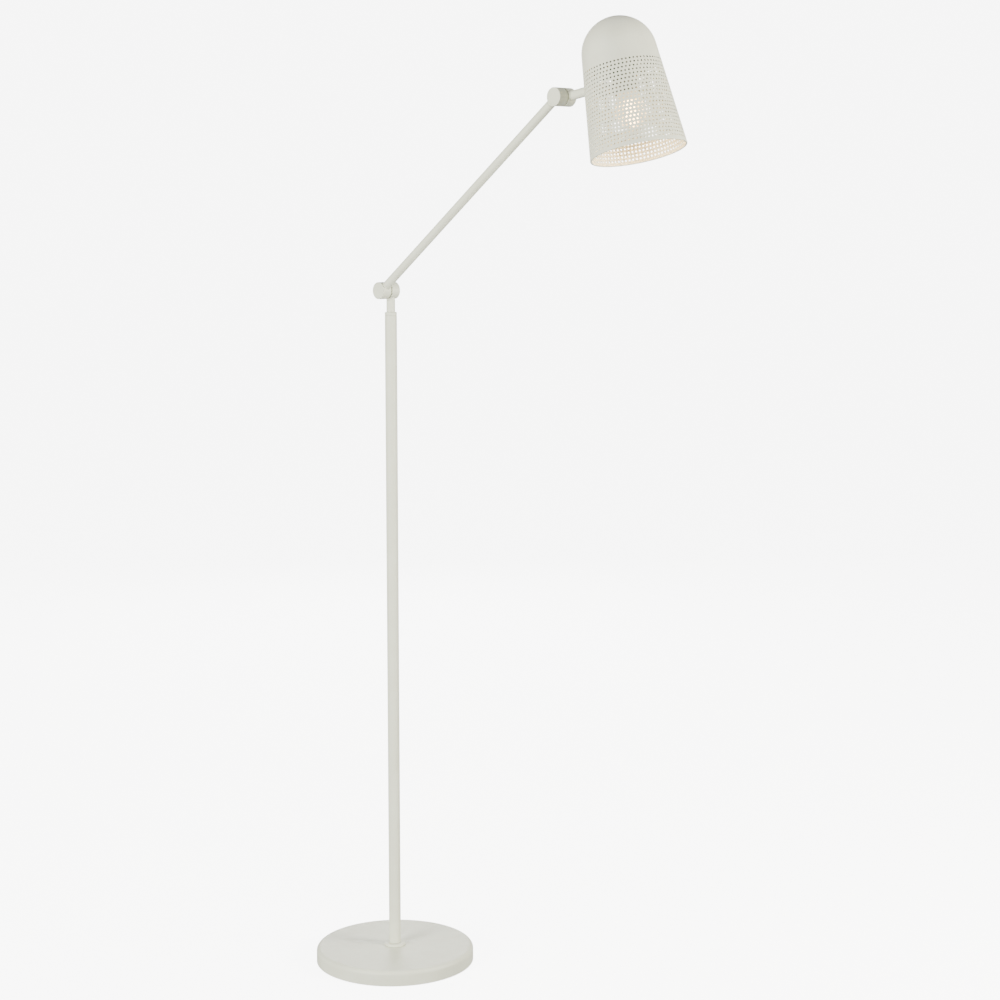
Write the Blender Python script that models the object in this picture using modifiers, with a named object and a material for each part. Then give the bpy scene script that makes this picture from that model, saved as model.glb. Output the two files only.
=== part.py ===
"""Adjustable arm floor lamp.

A heavy round base carries a straight pole. A friction swivel at the top of the pole and two
side-by-side knuckles let a straight arm turn, rise and fall, and let the perforated shade tilt.
Units are metres, +Z is up, the floor is z = 0 and the pole stands on the Z axis. The arm points
to +X, and every knuckle turns about an axis along Y.
"""

import math

import bmesh
import bpy
from mathutils import Vector

MM = 0.001

# Driving dimensions -----------------------------------------------------------------------------
BASE_DIAMETER = 254 * MM
BASE_HEIGHT = 25 * MM
BASE_EDGE = 7 * MM
BASE_WALL = 1.2 * MM
PAD_THICKNESS = 2.5 * MM

POLE_DIAMETER = 19 * MM
POLE_WALL = 1.2 * MM
SWIVEL_HEIGHT = 1050.5 * MM
LOWER_PIVOT_RISE = 34 * MM

ARM_LENGTH = 475 * MM
ARM_DIAMETER = 13 * MM
ARM_WALL = 1.0 * MM
ARM_ELEVATION = math.radians(36.5)

KNUCKLE_RADIUS = 13.3 * MM
KNUCKLE_WIDTH = 16.5 * MM
KNUCKLE_GAP = 1.0 * MM
STEM_DIAMETER = 13.5 * MM
STEM_REACH = 57.6 * MM

SHADE_TILT = math.radians(15.4)
MOUTH_RADIUS = 68.4 * MM
DOME_RADIUS = 52.8 * MM
DOME_CENTRE = 141.7 * MM
SHADE_WALL = 1.0 * MM
STEM_ENTRY = 110 * MM

BULB_RADIUS = 23 * MM
BULB_CENTRE = 59 * MM

# Fits and common sections -----------------------------------------------------------------------
GAP = 0.3 * MM
THREAD_RADIUS = 4.9 * MM
THREAD_HOLE = 5.3 * MM
THREAD_BORE = 3.4 * MM
LEAD_RADIUS = 1.3 * MM
NUT_FLATS = 14 * MM
NUT_HEIGHT = 3 * MM

# Knuckle section: a web by the joint face, a round cavity behind it and a flush cap ---------------
WEB = 3.5 * MM
CAVITY_RADIUS = 9.5 * MM
CAP_SEAT_RADIUS = 11.4 * MM
CAP_SEAT_DEPTH = 1.2 * MM
KNUCKLE_EDGE = 0.4 * MM
BOSS_END = 15 * MM
ARM_BOSS_END = 16 * MM
SPIGOT_RADIUS = 5.0 * MM
LEAD_HOLE = 3.9 * MM

# Sides of round pieces, from small inner ones to the base
ROUND = 16
TUBE = 24
FINE = 40
BROAD = 48

# Derived sizes ----------------------------------------------------------------------------------
BASE_RADIUS = BASE_DIAMETER / 2
POLE_RADIUS = POLE_DIAMETER / 2
POLE_BORE = POLE_RADIUS - POLE_WALL
ARM_RADIUS = ARM_DIAMETER / 2
STEM_RADIUS = STEM_DIAMETER / 2
REAR_FACE = -KNUCKLE_WIDTH / 2
FRONT_FACE = REAR_FACE - KNUCKLE_GAP
ARM_Y = FRONT_FACE - KNUCKLE_WIDTH / 2
JOINT_MIDDLE = (REAR_FACE + FRONT_FACE) / 2
BEND = 5 * MM


def cone_angle():
    """The angle of the shade's straight wall, which leaves the dome as a tangent."""
    reach = math.hypot(MOUTH_RADIUS, DOME_CENTRE)
    return math.acos(DOME_RADIUS / reach) - math.atan2(DOME_CENTRE, MOUTH_RADIUS)


CONE_ANGLE = cone_angle()
STEM_RISE = SHADE_TILT - CONE_ANGLE
ENTRY_RADIUS = MOUTH_RADIUS - STEM_ENTRY * math.tan(CONE_ANGLE)

FINISHES = {
    "powder_coat": ("DDDCD6", 0.0, 0.55),
    "cast_iron": ("3A3A3C", 0.8, 0.7),
    "foam": ("2A2A2B", 0.0, 0.95),
    "zinc_plate": ("C4C6C8", 1.0, 0.35),
    "brass": ("C9A24C", 1.0, 0.3),
    "nylon": ("E9E6DC", 0.0, 0.45),
    "rubber": ("242424", 0.0, 0.7),
    "fibre": ("5B3A2A", 0.0, 0.8),
    "phenolic": ("1E1C1B", 0.0, 0.35),
    "ceramic": ("F1EFE9", 0.0, 0.25),
    "lead_sheath": ("D8D8D4", 0.0, 0.5),
    "bulb_white": ("F4F2EC", 0.0, 0.4),
}


# Scene helpers ----------------------------------------------------------------------------------
def linear(value):
    """One sRGB channel, 0 to 1, as a linear value."""
    if value <= 0.04045:
        return value / 12.92
    return ((value + 0.055) / 1.055) ** 2.4


def finish(name):
    """The Principled material of one finish, made the first time it is asked for."""
    found = bpy.data.materials.get(name)
    if found:
        return found
    code, metallic, roughness = FINISHES[name]
    channels = [linear(int(code[i:i + 2], 16) / 255) for i in (0, 2, 4)]
    material = bpy.data.materials.new(name)
    material.use_nodes = True
    shader = material.node_tree.nodes["Principled BSDF"]
    shader.inputs["Base Color"].default_value = (*channels, 1.0)
    shader.inputs["Metallic"].default_value = metallic
    shader.inputs["Roughness"].default_value = roughness
    return material


def new_collection(name):
    """A collection linked to the scene."""
    collection = bpy.data.collections.new(name)
    bpy.context.scene.collection.children.link(collection)
    return collection


def clear_scene():
    """Remove every object and collection that the file opened with."""
    for obj in list(bpy.data.objects):
        bpy.data.objects.remove(obj, do_unlink=True)
    for collection in list(bpy.data.collections):
        bpy.data.collections.remove(collection)


clear_scene()
LAMP = new_collection("adjustable_arm_floor_lamp")
CUTTERS = new_collection("cutters")

AROUND_Z = (0.0, 0.0, 0.0)
TO_FRONT = (math.radians(90), 0.0, 0.0)
TO_REAR = (math.radians(-90), 0.0, 0.0)
TO_PLUS_X = (0.0, math.radians(90), 0.0)
TO_MINUS_X = (0.0, math.radians(-90), 0.0)
DOWN = (math.radians(180), 0.0, 0.0)


def frame(name, parent, location, turn_y):
    """An empty on a joint's axis, turned about Y."""
    empty = bpy.data.objects.new(name, None)
    empty.empty_display_size = 0.03
    empty.parent = parent
    empty.location = location
    empty.rotation_euler = (0.0, turn_y, 0.0)
    LAMP.objects.link(empty)
    return empty


def add_object(name, data, paint, parent, at, turn):
    """Place a piece, or a cutter where no paint is given, in its parent's frame."""
    obj = bpy.data.objects.new(name, data)
    obj.parent = parent
    obj.location = at
    obj.rotation_euler = turn
    if paint:
        data.materials.append(finish(paint))
        LAMP.objects.link(obj)
    else:
        obj.display_type = "WIRE"
        obj.hide_render = True
        CUTTERS.objects.link(obj)
    return obj


def turned(name, profile, paint=None, parent=None, at=(0, 0, 0), turn=AROUND_Z, sides=ROUND):
    """A turned piece about its own Z.

    The profile is a list of (radius, height) that runs down the outer side. One that starts and
    ends on the axis is left open there, and any other closes on itself as a ring.
    """
    mesh = bpy.data.meshes.new(name)
    count = len(profile)
    edges = [(i, i + 1) for i in range(count - 1)]
    if profile[0][0] > 0 and profile[-1][0] > 0:
        edges.append((count - 1, 0))
    mesh.from_pydata([(radius, 0.0, height) for radius, height in profile], edges, [])
    obj = add_object(name, mesh, paint, parent, at, turn)
    screw = obj.modifiers.new("Turn", "SCREW")
    screw.axis = "Z"
    screw.angle = 2 * math.pi
    screw.steps = sides
    screw.render_steps = sides
    screw.use_merge_vertices = True
    screw.merge_threshold = 0.00001
    return obj


def rod(name, radius, low, high, **place):
    """A solid rod about its own Z, from low to high."""
    return turned(name, [(0, high), (radius, high), (radius, low), (0, low)], **place)


def ring(name, outer, inner, low, high, **place):
    """A tube or washer about its own Z, from low to high."""
    return turned(name, [(outer, high), (outer, low), (inner, low), (inner, high)], **place)


def edged_ring(name, outer, inner, low, high, edge, **place):
    """A ring whose two outer corners have a small chamfer."""
    profile = [
        (outer - edge, high),
        (outer, high - edge),
        (outer, low + edge),
        (outer - edge, low),
        (inner, low),
        (inner, high),
    ]
    return turned(name, profile, **place)


def boolean(obj, tool, operation):
    """Cut or join one mesh with another by an exact Boolean."""
    modifier = obj.modifiers.new(operation.title() + " " + tool.name, "BOOLEAN")
    modifier.operation = operation
    modifier.solver = "EXACT"
    modifier.object = tool


def cut(obj, *tools):
    """Take each tool away from the piece."""
    for tool in tools:
        boolean(obj, tool, "DIFFERENCE")


def join(obj, *tools):
    """Add each tool to the piece."""
    for tool in tools:
        boolean(obj, tool, "UNION")


def arc(centre_r, centre_z, radius, start, end, steps):
    """Points on a circle in a turned profile, from the start angle to the end angle in degrees."""
    points = []
    for step in range(steps + 1):
        angle = math.radians(start + (end - start) * step / steps)
        points.append((centre_r + radius * math.cos(angle), centre_z + radius * math.sin(angle)))
    return points


def hex_nut(name, flats, low, high, paint, parent=None, at=(0, 0, 0), turn=AROUND_Z):
    """A plain hexagon nut about its own Z, bored to clear the hollow thread."""
    corner = flats / 2 / math.cos(math.radians(30))
    nut = rod(name, corner, low, high, paint=paint, parent=parent, at=at, turn=turn, sides=6)
    bore = rod(name + "_bore", THREAD_RADIUS + 0.2 * MM, low - MM, high + MM, parent=parent, at=at, turn=turn)
    cut(nut, bore)
    return nut


def smooth_route(points, steps=3):
    """Points along a smooth curve through a route's own points.

    It is a cubic Hermite curve over chord length. The slope at an inner point is the two spans'
    slopes, weighted towards the shorter span, so a tight bend doesn't disturb a long straight.
    """
    route = [Vector(point) for point in points]
    lengths = [(route[i + 1] - route[i]).length for i in range(len(route) - 1)]
    slopes = [(route[i + 1] - route[i]) / lengths[i] for i in range(len(lengths))]
    tangents = [slopes[0]]
    for i in range(1, len(lengths)):
        before, after = lengths[i - 1], lengths[i]
        tangents.append((slopes[i - 1] * after + slopes[i] * before) / (before + after))
    tangents.append(slopes[-1])
    smooth = [route[0]]
    for i, length in enumerate(lengths):
        for step in range(1, steps + 1):
            u = step / steps
            start_weight = 2 * u**3 - 3 * u**2 + 1
            end_weight = 3 * u**2 - 2 * u**3
            start_pull = (u**3 - 2 * u**2 + u) * length
            end_pull = (u**3 - u**2) * length
            smooth.append(
                route[i] * start_weight
                + route[i + 1] * end_weight
                + tangents[i] * start_pull
                + tangents[i + 1] * end_pull
            )
    return smooth


def lead(name, route, parent=None):
    """A length of twin lead held inside the lamp, as a round curve with filled caps."""
    curve = bpy.data.curves.new(name, "CURVE")
    curve.dimensions = "3D"
    curve.bevel_depth = LEAD_RADIUS
    curve.bevel_resolution = 2
    curve.use_fill_caps = True
    spline = curve.splines.new("POLY")
    points = smooth_route(route)
    spline.points.add(len(points) - 1)
    for spot, point in zip(spline.points, points):
        spot.co = (*point, 1.0)
    return add_object(name, curve, "lead_sheath", parent, (0, 0, 0), AROUND_Z)


# Base -------------------------------------------------------------------------------------------
WEIGHT_BOTTOM = PAD_THICKNESS + 0.5 * MM
WEIGHT_TOP = BASE_HEIGHT - BASE_WALL - GAP
POCKET_RADIUS = 18 * MM
POCKET_TOP = 16 * MM
GLAND_HEIGHT = 9.5 * MM
GLAND_BORE = 3.2 * MM
CHANNEL_WIDTH = 12 * MM
FLANGE_RADIUS = 17 * MM
FLANGE_HEIGHT = 3.7 * MM
POLE_BOTTOM = BASE_HEIGHT + GAP + FLANGE_HEIGHT + GAP


def make_base_cover():
    """Pressed steel cover: a flat disc with a rounded edge and a straight skirt."""
    inner = BASE_RADIUS - BASE_WALL
    edge_centre = BASE_RADIUS - BASE_EDGE
    edge_height = BASE_HEIGHT - BASE_EDGE
    rim = MM
    profile = [(THREAD_HOLE, BASE_HEIGHT)]
    profile += arc(edge_centre, edge_height, BASE_EDGE, 90, 0, 5)
    profile += [(BASE_RADIUS, rim), (inner, rim)]
    profile += arc(edge_centre, edge_height, BASE_EDGE - BASE_WALL, 0, 90, 3)
    profile += [(THREAD_HOLE, BASE_HEIGHT - BASE_WALL)]
    cover = turned("base_cover", profile, "powder_coat", sides=BROAD)
    hole = rod(
        "gland_hole", 5.0 * MM, BASE_RADIUS - 6 * MM, BASE_RADIUS + 4 * MM,
        at=(0, 0, GLAND_HEIGHT), turn=TO_MINUS_X,
    )
    cut(cover, hole)


def make_base_weight():
    """Cast iron disc with a nut pocket below and a channel for the lead."""
    radius = BASE_RADIUS - BASE_WALL - 0.5 * MM
    chamfer = 5 * MM
    profile = [
        (radius - chamfer, WEIGHT_TOP),
        (radius, WEIGHT_TOP - chamfer),
        (radius, WEIGHT_BOTTOM),
        (POCKET_RADIUS, WEIGHT_BOTTOM),
        (POCKET_RADIUS, POCKET_TOP),
        (THREAD_HOLE, POCKET_TOP),
        (THREAD_HOLE, WEIGHT_TOP),
    ]
    weight = turned("base_weight", profile, "cast_iron", sides=BROAD)
    bpy.ops.mesh.primitive_cube_add(size=1)
    channel = bpy.context.object
    channel.name = "lead_channel"
    reach = BASE_RADIUS + 4 * MM
    top = POCKET_TOP - MM
    for collection in channel.users_collection:
        collection.objects.unlink(channel)
    CUTTERS.objects.link(channel)
    channel.display_type = "WIRE"
    channel.hide_render = True
    channel.scale = (reach - POCKET_RADIUS / 2, CHANNEL_WIDTH, top)
    channel.location = (-(reach + POCKET_RADIUS / 2) / 2, 0, top / 2)
    cut(weight, channel)


def make_base_pad():
    """Foam pad that the lamp stands on, inside the cover's rim."""
    rod("base_pad", BASE_RADIUS - BASE_WALL - 0.8 * MM, 0, PAD_THICKNESS, paint="foam", sides=BROAD)


def make_cord_gland():
    """Moulded bush that lines the cord hole at the back of the base."""
    profile = [
        (5.2 * MM, BASE_RADIUS + 2.1 * MM),
        (6.0 * MM, BASE_RADIUS + 1.3 * MM),
        (6.0 * MM, BASE_RADIUS + GAP),
        (4.7 * MM, BASE_RADIUS + GAP),
        (4.7 * MM, BASE_RADIUS - BASE_WALL - 0.4 * MM),
        (5.5 * MM, BASE_RADIUS - BASE_WALL - 0.6 * MM),
        (4.7 * MM, BASE_RADIUS - 7 * MM),
        (GLAND_BORE, BASE_RADIUS - 7 * MM),
        (GLAND_BORE, BASE_RADIUS + 2.1 * MM),
    ]
    turned("cord_gland", profile, "rubber", at=(0, 0, GLAND_HEIGHT), turn=TO_MINUS_X)


def make_pole_fixing():
    """Hollow threaded nipple with its washer and nut, the foot flange and the pole's insert."""
    nipple_bottom = 8.5 * MM
    nut_bottom = 9.3 * MM
    nut_top = 14.0 * MM
    washer_top = 15.7 * MM
    insert_top = POLE_BOTTOM + 18 * MM
    ring(
        "threaded_nipple", THREAD_RADIUS, THREAD_BORE, nipple_bottom, insert_top - 3 * MM,
        paint="zinc_plate",
    )
    hex_nut("base_nut", 17 * MM, nut_bottom, nut_top, "zinc_plate")
    ring("base_washer", 14 * MM, THREAD_HOLE, nut_top + GAP, washer_top, paint="zinc_plate")
    flange_bottom = BASE_HEIGHT + GAP
    round_edge = 1.8 * MM
    profile = [(THREAD_HOLE, flange_bottom + FLANGE_HEIGHT)]
    profile += arc(
        FLANGE_RADIUS - round_edge, flange_bottom + FLANGE_HEIGHT - round_edge, round_edge, 90, 0, 3
    )
    profile += [(FLANGE_RADIUS, flange_bottom), (THREAD_HOLE, flange_bottom)]
    turned("foot_flange", profile, "powder_coat", sides=TUBE)
    ring(
        "pole_foot_insert", POLE_BORE - 0.2 * MM, THREAD_RADIUS + 0.2 * MM, POLE_BOTTOM, insert_top,
        paint="zinc_plate",
    )


def make_pole():
    """Straight steel tube with a turned collar pressed into its top."""
    edged_ring(
        "pole_tube", POLE_RADIUS, POLE_BORE, POLE_BOTTOM, SWIVEL_HEIGHT - 5 * MM, 0.5 * MM,
        paint="powder_coat", sides=TUBE,
    )
    neck = POLE_BORE - 0.2 * MM
    bore = 6.6 * MM
    profile = [
        (POLE_RADIUS - 0.9 * MM, 0),
        (POLE_RADIUS, -0.9 * MM),
        (POLE_RADIUS, -4.0 * MM),
        (POLE_RADIUS - 0.7 * MM, -4.7 * MM),
        (neck, -4.7 * MM),
        (neck, -22.7 * MM),
        (bore, -22.7 * MM),
        (bore, 0),
    ]
    turned("pole_collar", profile, "powder_coat", at=(0, 0, SWIVEL_HEIGHT), sides=TUBE)
    ring(
        "swivel_bush", 6.4 * MM, THREAD_HOLE, -22.4 * MM, -GAP, paint="nylon",
        at=(0, 0, SWIVEL_HEIGHT),
    )


LEAD_MEETING = -33 * MM


def make_pole_lead():
    """Lead from inside the gland, along the base and up the pole to the swivel."""
    run = 5 * MM
    route = [
        (-BASE_RADIUS + 5 * MM, 0, GLAND_HEIGHT),
        (-BASE_RADIUS + 20 * MM, 0, GLAND_HEIGHT - 1.5 * MM),
        (-60 * MM, 0, run),
        (-12 * MM, 0, run),
        (-4.5 * MM, 0, run + 1.2 * MM),
        (-0.8 * MM, 0, run + 4.8 * MM),
        (0, 0, run + 10 * MM),
        (0, 0, 60 * MM),
        (0, 0, SWIVEL_HEIGHT + LEAD_MEETING - GAP / 2),
    ]
    lead("pole_lead", route)


# Knuckles ---------------------------------------------------------------------------------------
def knuckle(name, parent, at, turn):
    """Half a knuckle: a thick disc with a web at the joint face and a cavity behind it.

    Its own Z runs from the joint face to the outer face.
    """
    seat = KNUCKLE_WIDTH - CAP_SEAT_DEPTH
    profile = [
        (KNUCKLE_RADIUS - KNUCKLE_EDGE, KNUCKLE_WIDTH),
        (KNUCKLE_RADIUS, KNUCKLE_WIDTH - KNUCKLE_EDGE),
        (KNUCKLE_RADIUS, KNUCKLE_EDGE),
        (KNUCKLE_RADIUS - KNUCKLE_EDGE, 0),
        (THREAD_HOLE, 0),
        (THREAD_HOLE, WEB),
        (CAVITY_RADIUS, WEB),
        (CAVITY_RADIUS, seat),
        (CAP_SEAT_RADIUS, seat),
        (CAP_SEAT_RADIUS, KNUCKLE_WIDTH),
    ]
    return turned(name, profile, "powder_coat", parent, at, turn, sides=TUBE)


def knuckle_cap(name, parent, at, turn):
    """Thin cap that closes a knuckle's cavity, flush with its outer face."""
    rod(
        name, CAP_SEAT_RADIUS - 0.15 * MM, KNUCKLE_WIDTH - CAP_SEAT_DEPTH + GAP, KNUCKLE_WIDTH,
        paint="powder_coat", parent=parent, at=at, turn=turn, sides=TUBE,
    )


def add_boss(piece, parent, centre, turn, radius, end):
    """Join a round boss that leaves the disc radially and opens into its cavity."""
    boss_start = 11 * MM
    bore_start = 7.5 * MM
    boss = rod(piece.name + "_boss", radius, boss_start, end, parent=parent, at=centre, turn=turn)
    bore = rod(
        piece.name + "_bore", LEAD_HOLE, bore_start, end + 40 * MM, parent=parent, at=centre, turn=turn
    )
    return boss, bore


def make_joint_hardware(prefix, parent, at):
    """Friction washer between the discs, and the hollow bolt and nut that clamp them."""
    head_bottom = -FRONT_FACE + WEB + GAP
    nut_low = REAR_FACE + WEB + GAP
    profile = [
        (7.0 * MM, head_bottom + 2.0 * MM),
        (7.5 * MM, head_bottom + 1.5 * MM),
        (7.5 * MM, head_bottom),
        (THREAD_RADIUS, head_bottom),
        (THREAD_RADIUS, -(nut_low + NUT_HEIGHT + 0.5 * MM)),
        (THREAD_BORE, -(nut_low + NUT_HEIGHT + 0.5 * MM)),
        (THREAD_BORE, head_bottom + 2.0 * MM),
    ]
    turned(prefix + "_pivot_bolt", profile, "zinc_plate", parent, at, TO_FRONT)
    hex_nut(
        prefix + "_pivot_nut", NUT_FLATS, nut_low, nut_low + NUT_HEIGHT, "zinc_plate",
        parent, at, TO_REAR,
    )
    side_play = 0.2 * MM
    ring(
        prefix + "_friction_washer", 10.5 * MM, THREAD_HOLE, FRONT_FACE + side_play,
        REAR_FACE - side_play, paint="fibre", parent=parent, at=at, turn=TO_REAR,
    )


# Swivel -----------------------------------------------------------------------------------------
def make_swivel(axis):
    """Everything that turns on top of the pole, up to the lower knuckle's rear half."""
    pivot = (0, 0, LOWER_PIVOT_RISE)
    shoulder = LOWER_PIVOT_RISE - BOSS_END - GAP
    spigot_top = shoulder + 4.3 * MM
    spigot_radius = 4.8 * MM
    stem_profile = [
        (spigot_radius, spigot_top),
        (spigot_radius, shoulder),
        (STEM_RADIUS, shoulder),
        (STEM_RADIUS, GAP + 0.4 * MM),
        (STEM_RADIUS - 0.4 * MM, GAP),
        (SPIGOT_RADIUS, GAP),
        (SPIGOT_RADIUS, -30.5 * MM),
        (THREAD_BORE, -30.5 * MM),
        (THREAD_BORE, spigot_top),
    ]
    turned("swivel_stem", stem_profile, "powder_coat", axis)
    ring("swivel_washer", 7.6 * MM, THREAD_HOLE, -24.0 * MM, -23.0 * MM, paint="zinc_plate", parent=axis)
    hex_nut("swivel_nut", 13.4 * MM, -28.3 * MM, -24.3 * MM, "zinc_plate", axis)

    face = (0, REAR_FACE, LOWER_PIVOT_RISE)
    body = knuckle("swivel_knuckle", axis, face, TO_REAR)
    boss, bore = add_boss(body, axis, pivot, DOWN, STEM_RADIUS, BOSS_END)
    seat = rod(
        "swivel_knuckle_seat", spigot_radius + GAP, BOSS_END - 4.8 * MM, BOSS_END + MM,
        parent=axis, at=pivot, turn=DOWN,
    )
    join(body, boss)
    cut(body, bore, seat)
    knuckle_cap("swivel_knuckle_cap", axis, face, TO_REAR)
    make_joint_hardware("lower", axis, pivot)

    bend_start = LOWER_PIVOT_RISE - BEND
    rise = BEND * math.sin(math.radians(45))
    route = [
        (0, 0, LEAD_MEETING + GAP / 2),
        (0, 0, -10 * MM),
        (0, 0.6 * MM, 14 * MM),
        (0, 1.5 * MM, 22 * MM),
        (0, 2.3 * MM, 25 * MM),
        (0, BEND - MM, bend_start),
        (0, rise - MM, bend_start + rise),
        (0, -MM, LOWER_PIVOT_RISE),
        (0, JOINT_MIDDLE + GAP / 2, LOWER_PIVOT_RISE),
    ]
    lead("stem_lead", route, axis)


# Arm --------------------------------------------------------------------------------------------
def make_arm(axis):
    """The arm tube between the front halves of the two knuckles. The frame's X runs along it."""
    for name, place, out in (("lower", 0.0, TO_PLUS_X), ("upper", ARM_LENGTH, TO_MINUS_X)):
        face = (place, FRONT_FACE, 0)
        middle = (place, ARM_Y, 0)
        body = knuckle("arm_knuckle_" + name, axis, face, TO_FRONT)
        boss, bore = add_boss(body, axis, middle, out, ARM_RADIUS, ARM_BOSS_END)
        spigot = rod(
            body.name + "_spigot", ARM_RADIUS - ARM_WALL - GAP, 12 * MM, ARM_BOSS_END + 16 * MM,
            parent=axis, at=middle, turn=out,
        )
        join(body, boss, spigot)
        cut(body, bore)
        knuckle_cap("arm_knuckle_cap_" + name, axis, face, TO_FRONT)

    start = ARM_BOSS_END + GAP
    ring(
        "arm_tube", ARM_RADIUS, ARM_RADIUS - ARM_WALL, start, ARM_LENGTH - start,
        paint="powder_coat", parent=axis, at=(0, ARM_Y, 0), turn=TO_PLUS_X, sides=TUBE,
    )

    bend_y = ARM_Y + BEND
    rise = BEND * math.sin(math.radians(45))
    near_end = [
        (0, JOINT_MIDDLE - GAP / 2, 0),
        (0, bend_y, 0),
        (BEND - rise, bend_y - rise, 0),
        (BEND, ARM_Y, 0),
        (14 * MM, ARM_Y, 0),
    ]
    far_end = [(ARM_LENGTH - x, y, z) for x, y, z in reversed(near_end)]
    lead("arm_lead", near_end + far_end, axis)


# Head -------------------------------------------------------------------------------------------
NECK_END = STEM_REACH + 9.4 * MM
BRACKET_FACE = STEM_REACH + 1.9 * MM
BRACKET_THICKNESS = 1.5 * MM
BRACKET_WIDTH = 16 * MM
BRACKET_LEVEL = 149.75 * MM


def make_head_stem(axis):
    """Rear half of the upper knuckle and the stem that carries the shade. X runs along it."""
    face = (0, REAR_FACE, 0)
    body = knuckle("head_knuckle", axis, face, TO_REAR)
    boss, bore = add_boss(body, axis, (0, 0, 0), TO_PLUS_X, STEM_RADIUS, BOSS_END)
    spigot = rod(
        "head_knuckle_spigot", SPIGOT_RADIUS, 12 * MM, BOSS_END + 12 * MM, parent=axis, turn=TO_PLUS_X
    )
    join(body, boss, spigot)
    cut(body, bore)
    knuckle_cap("head_knuckle_cap", axis, face, TO_REAR)
    make_joint_hardware("upper", axis, (0, 0, 0))

    start = BOSS_END + GAP
    end = STEM_REACH - GAP
    bore_end = 50 * MM
    profile = [
        (SPIGOT_RADIUS, NECK_END),
        (SPIGOT_RADIUS, end),
        (STEM_RADIUS, end),
        (STEM_RADIUS, start),
        (THREAD_HOLE, start),
        (THREAD_HOLE, bore_end),
        (THREAD_BORE, bore_end),
        (THREAD_BORE, NECK_END),
    ]
    turned("head_stem", profile, "powder_coat", axis, turn=TO_PLUS_X, sides=TUBE)
    washer = BRACKET_FACE + BRACKET_THICKNESS + GAP
    nut = washer + MM + GAP
    ring(
        "head_stem_washer", 9 * MM, THREAD_HOLE, washer, washer + MM,
        paint="zinc_plate", parent=axis, turn=TO_PLUS_X,
    )
    hex_nut("head_stem_nut", NUT_FLATS, nut, nut + NUT_HEIGHT, "zinc_plate", axis, turn=TO_PLUS_X)


def make_shade(shade_frame, stem_axis):
    """Spun shade: a straight tapered wall that runs into a round top. Z runs up its axis."""
    tangent = math.degrees(CONE_ANGLE)
    inner_mouth = MOUTH_RADIUS - SHADE_WALL / math.cos(CONE_ANGLE)
    profile = arc(0, DOME_CENTRE, DOME_RADIUS, 90, tangent, 8)
    profile[0] = (0, DOME_CENTRE + DOME_RADIUS)
    profile += [(MOUTH_RADIUS, 0), (inner_mouth, 0)]
    profile += arc(0, DOME_CENTRE, DOME_RADIUS - SHADE_WALL, tangent, 90, 6)
    profile[-1] = (0, DOME_CENTRE + DOME_RADIUS - SHADE_WALL)
    shade = turned("shade", profile, "powder_coat", shade_frame, sides=FINE)
    hole = rod(
        "shade_hole", THREAD_HOLE, STEM_REACH - 8 * MM, STEM_REACH + 8 * MM,
        parent=stem_axis, turn=TO_PLUS_X,
    )
    cut(shade, hole)


def make_bracket(shade_frame, stem_axis):
    """Bent strap that carries the socket: up the inside of the wall, then across to the axis."""
    offset = BRACKET_FACE + BRACKET_THICKNESS / 2 - STEM_REACH
    inset = offset / math.cos(CONE_ANGLE)

    def wall(height):
        return -(MOUTH_RADIUS - height * math.tan(CONE_ANGLE) - inset)

    bend = 4 * MM
    low = STEM_ENTRY - 11 * MM
    line = [(wall(low), low), (wall(BRACKET_LEVEL - bend), BRACKET_LEVEL - bend)]
    corner = wall(BRACKET_LEVEL)
    for step in range(1, 4):
        angle = math.radians(90 * step / 4)
        line.append((corner + bend * (1 - math.cos(angle)), BRACKET_LEVEL - bend * (1 - math.sin(angle))))
    line += [(corner + bend, BRACKET_LEVEL), (9 * MM, BRACKET_LEVEL)]
    half = BRACKET_WIDTH / 2
    mesh = bpy.data.meshes.new("socket_bracket")
    strip = bmesh.new()
    left = [strip.verts.new((x, -half, z)) for x, z in line]
    right = [strip.verts.new((x, half, z)) for x, z in line]
    for i in range(len(line) - 1):
        strip.faces.new((left[i], left[i + 1], right[i + 1], right[i]))
    strip.to_mesh(mesh)
    strip.free()
    strap = add_object("socket_bracket", mesh, "zinc_plate", shade_frame, (0, 0, 0), AROUND_Z)
    solid = strap.modifiers.new("Sheet", "SOLIDIFY")
    solid.thickness = BRACKET_THICKNESS
    solid.offset = 0
    solid.use_even_offset = True
    stem_hole = rod(
        "bracket_stem_hole", THREAD_HOLE, STEM_REACH, STEM_REACH + 12 * MM,
        parent=stem_axis, turn=TO_PLUS_X,
    )
    socket_hole = rod(
        "bracket_socket_hole", THREAD_HOLE, BRACKET_LEVEL - 5 * MM, BRACKET_LEVEL + 5 * MM,
        parent=shade_frame,
    )
    cut(strap, stem_hole, socket_hole)


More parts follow.
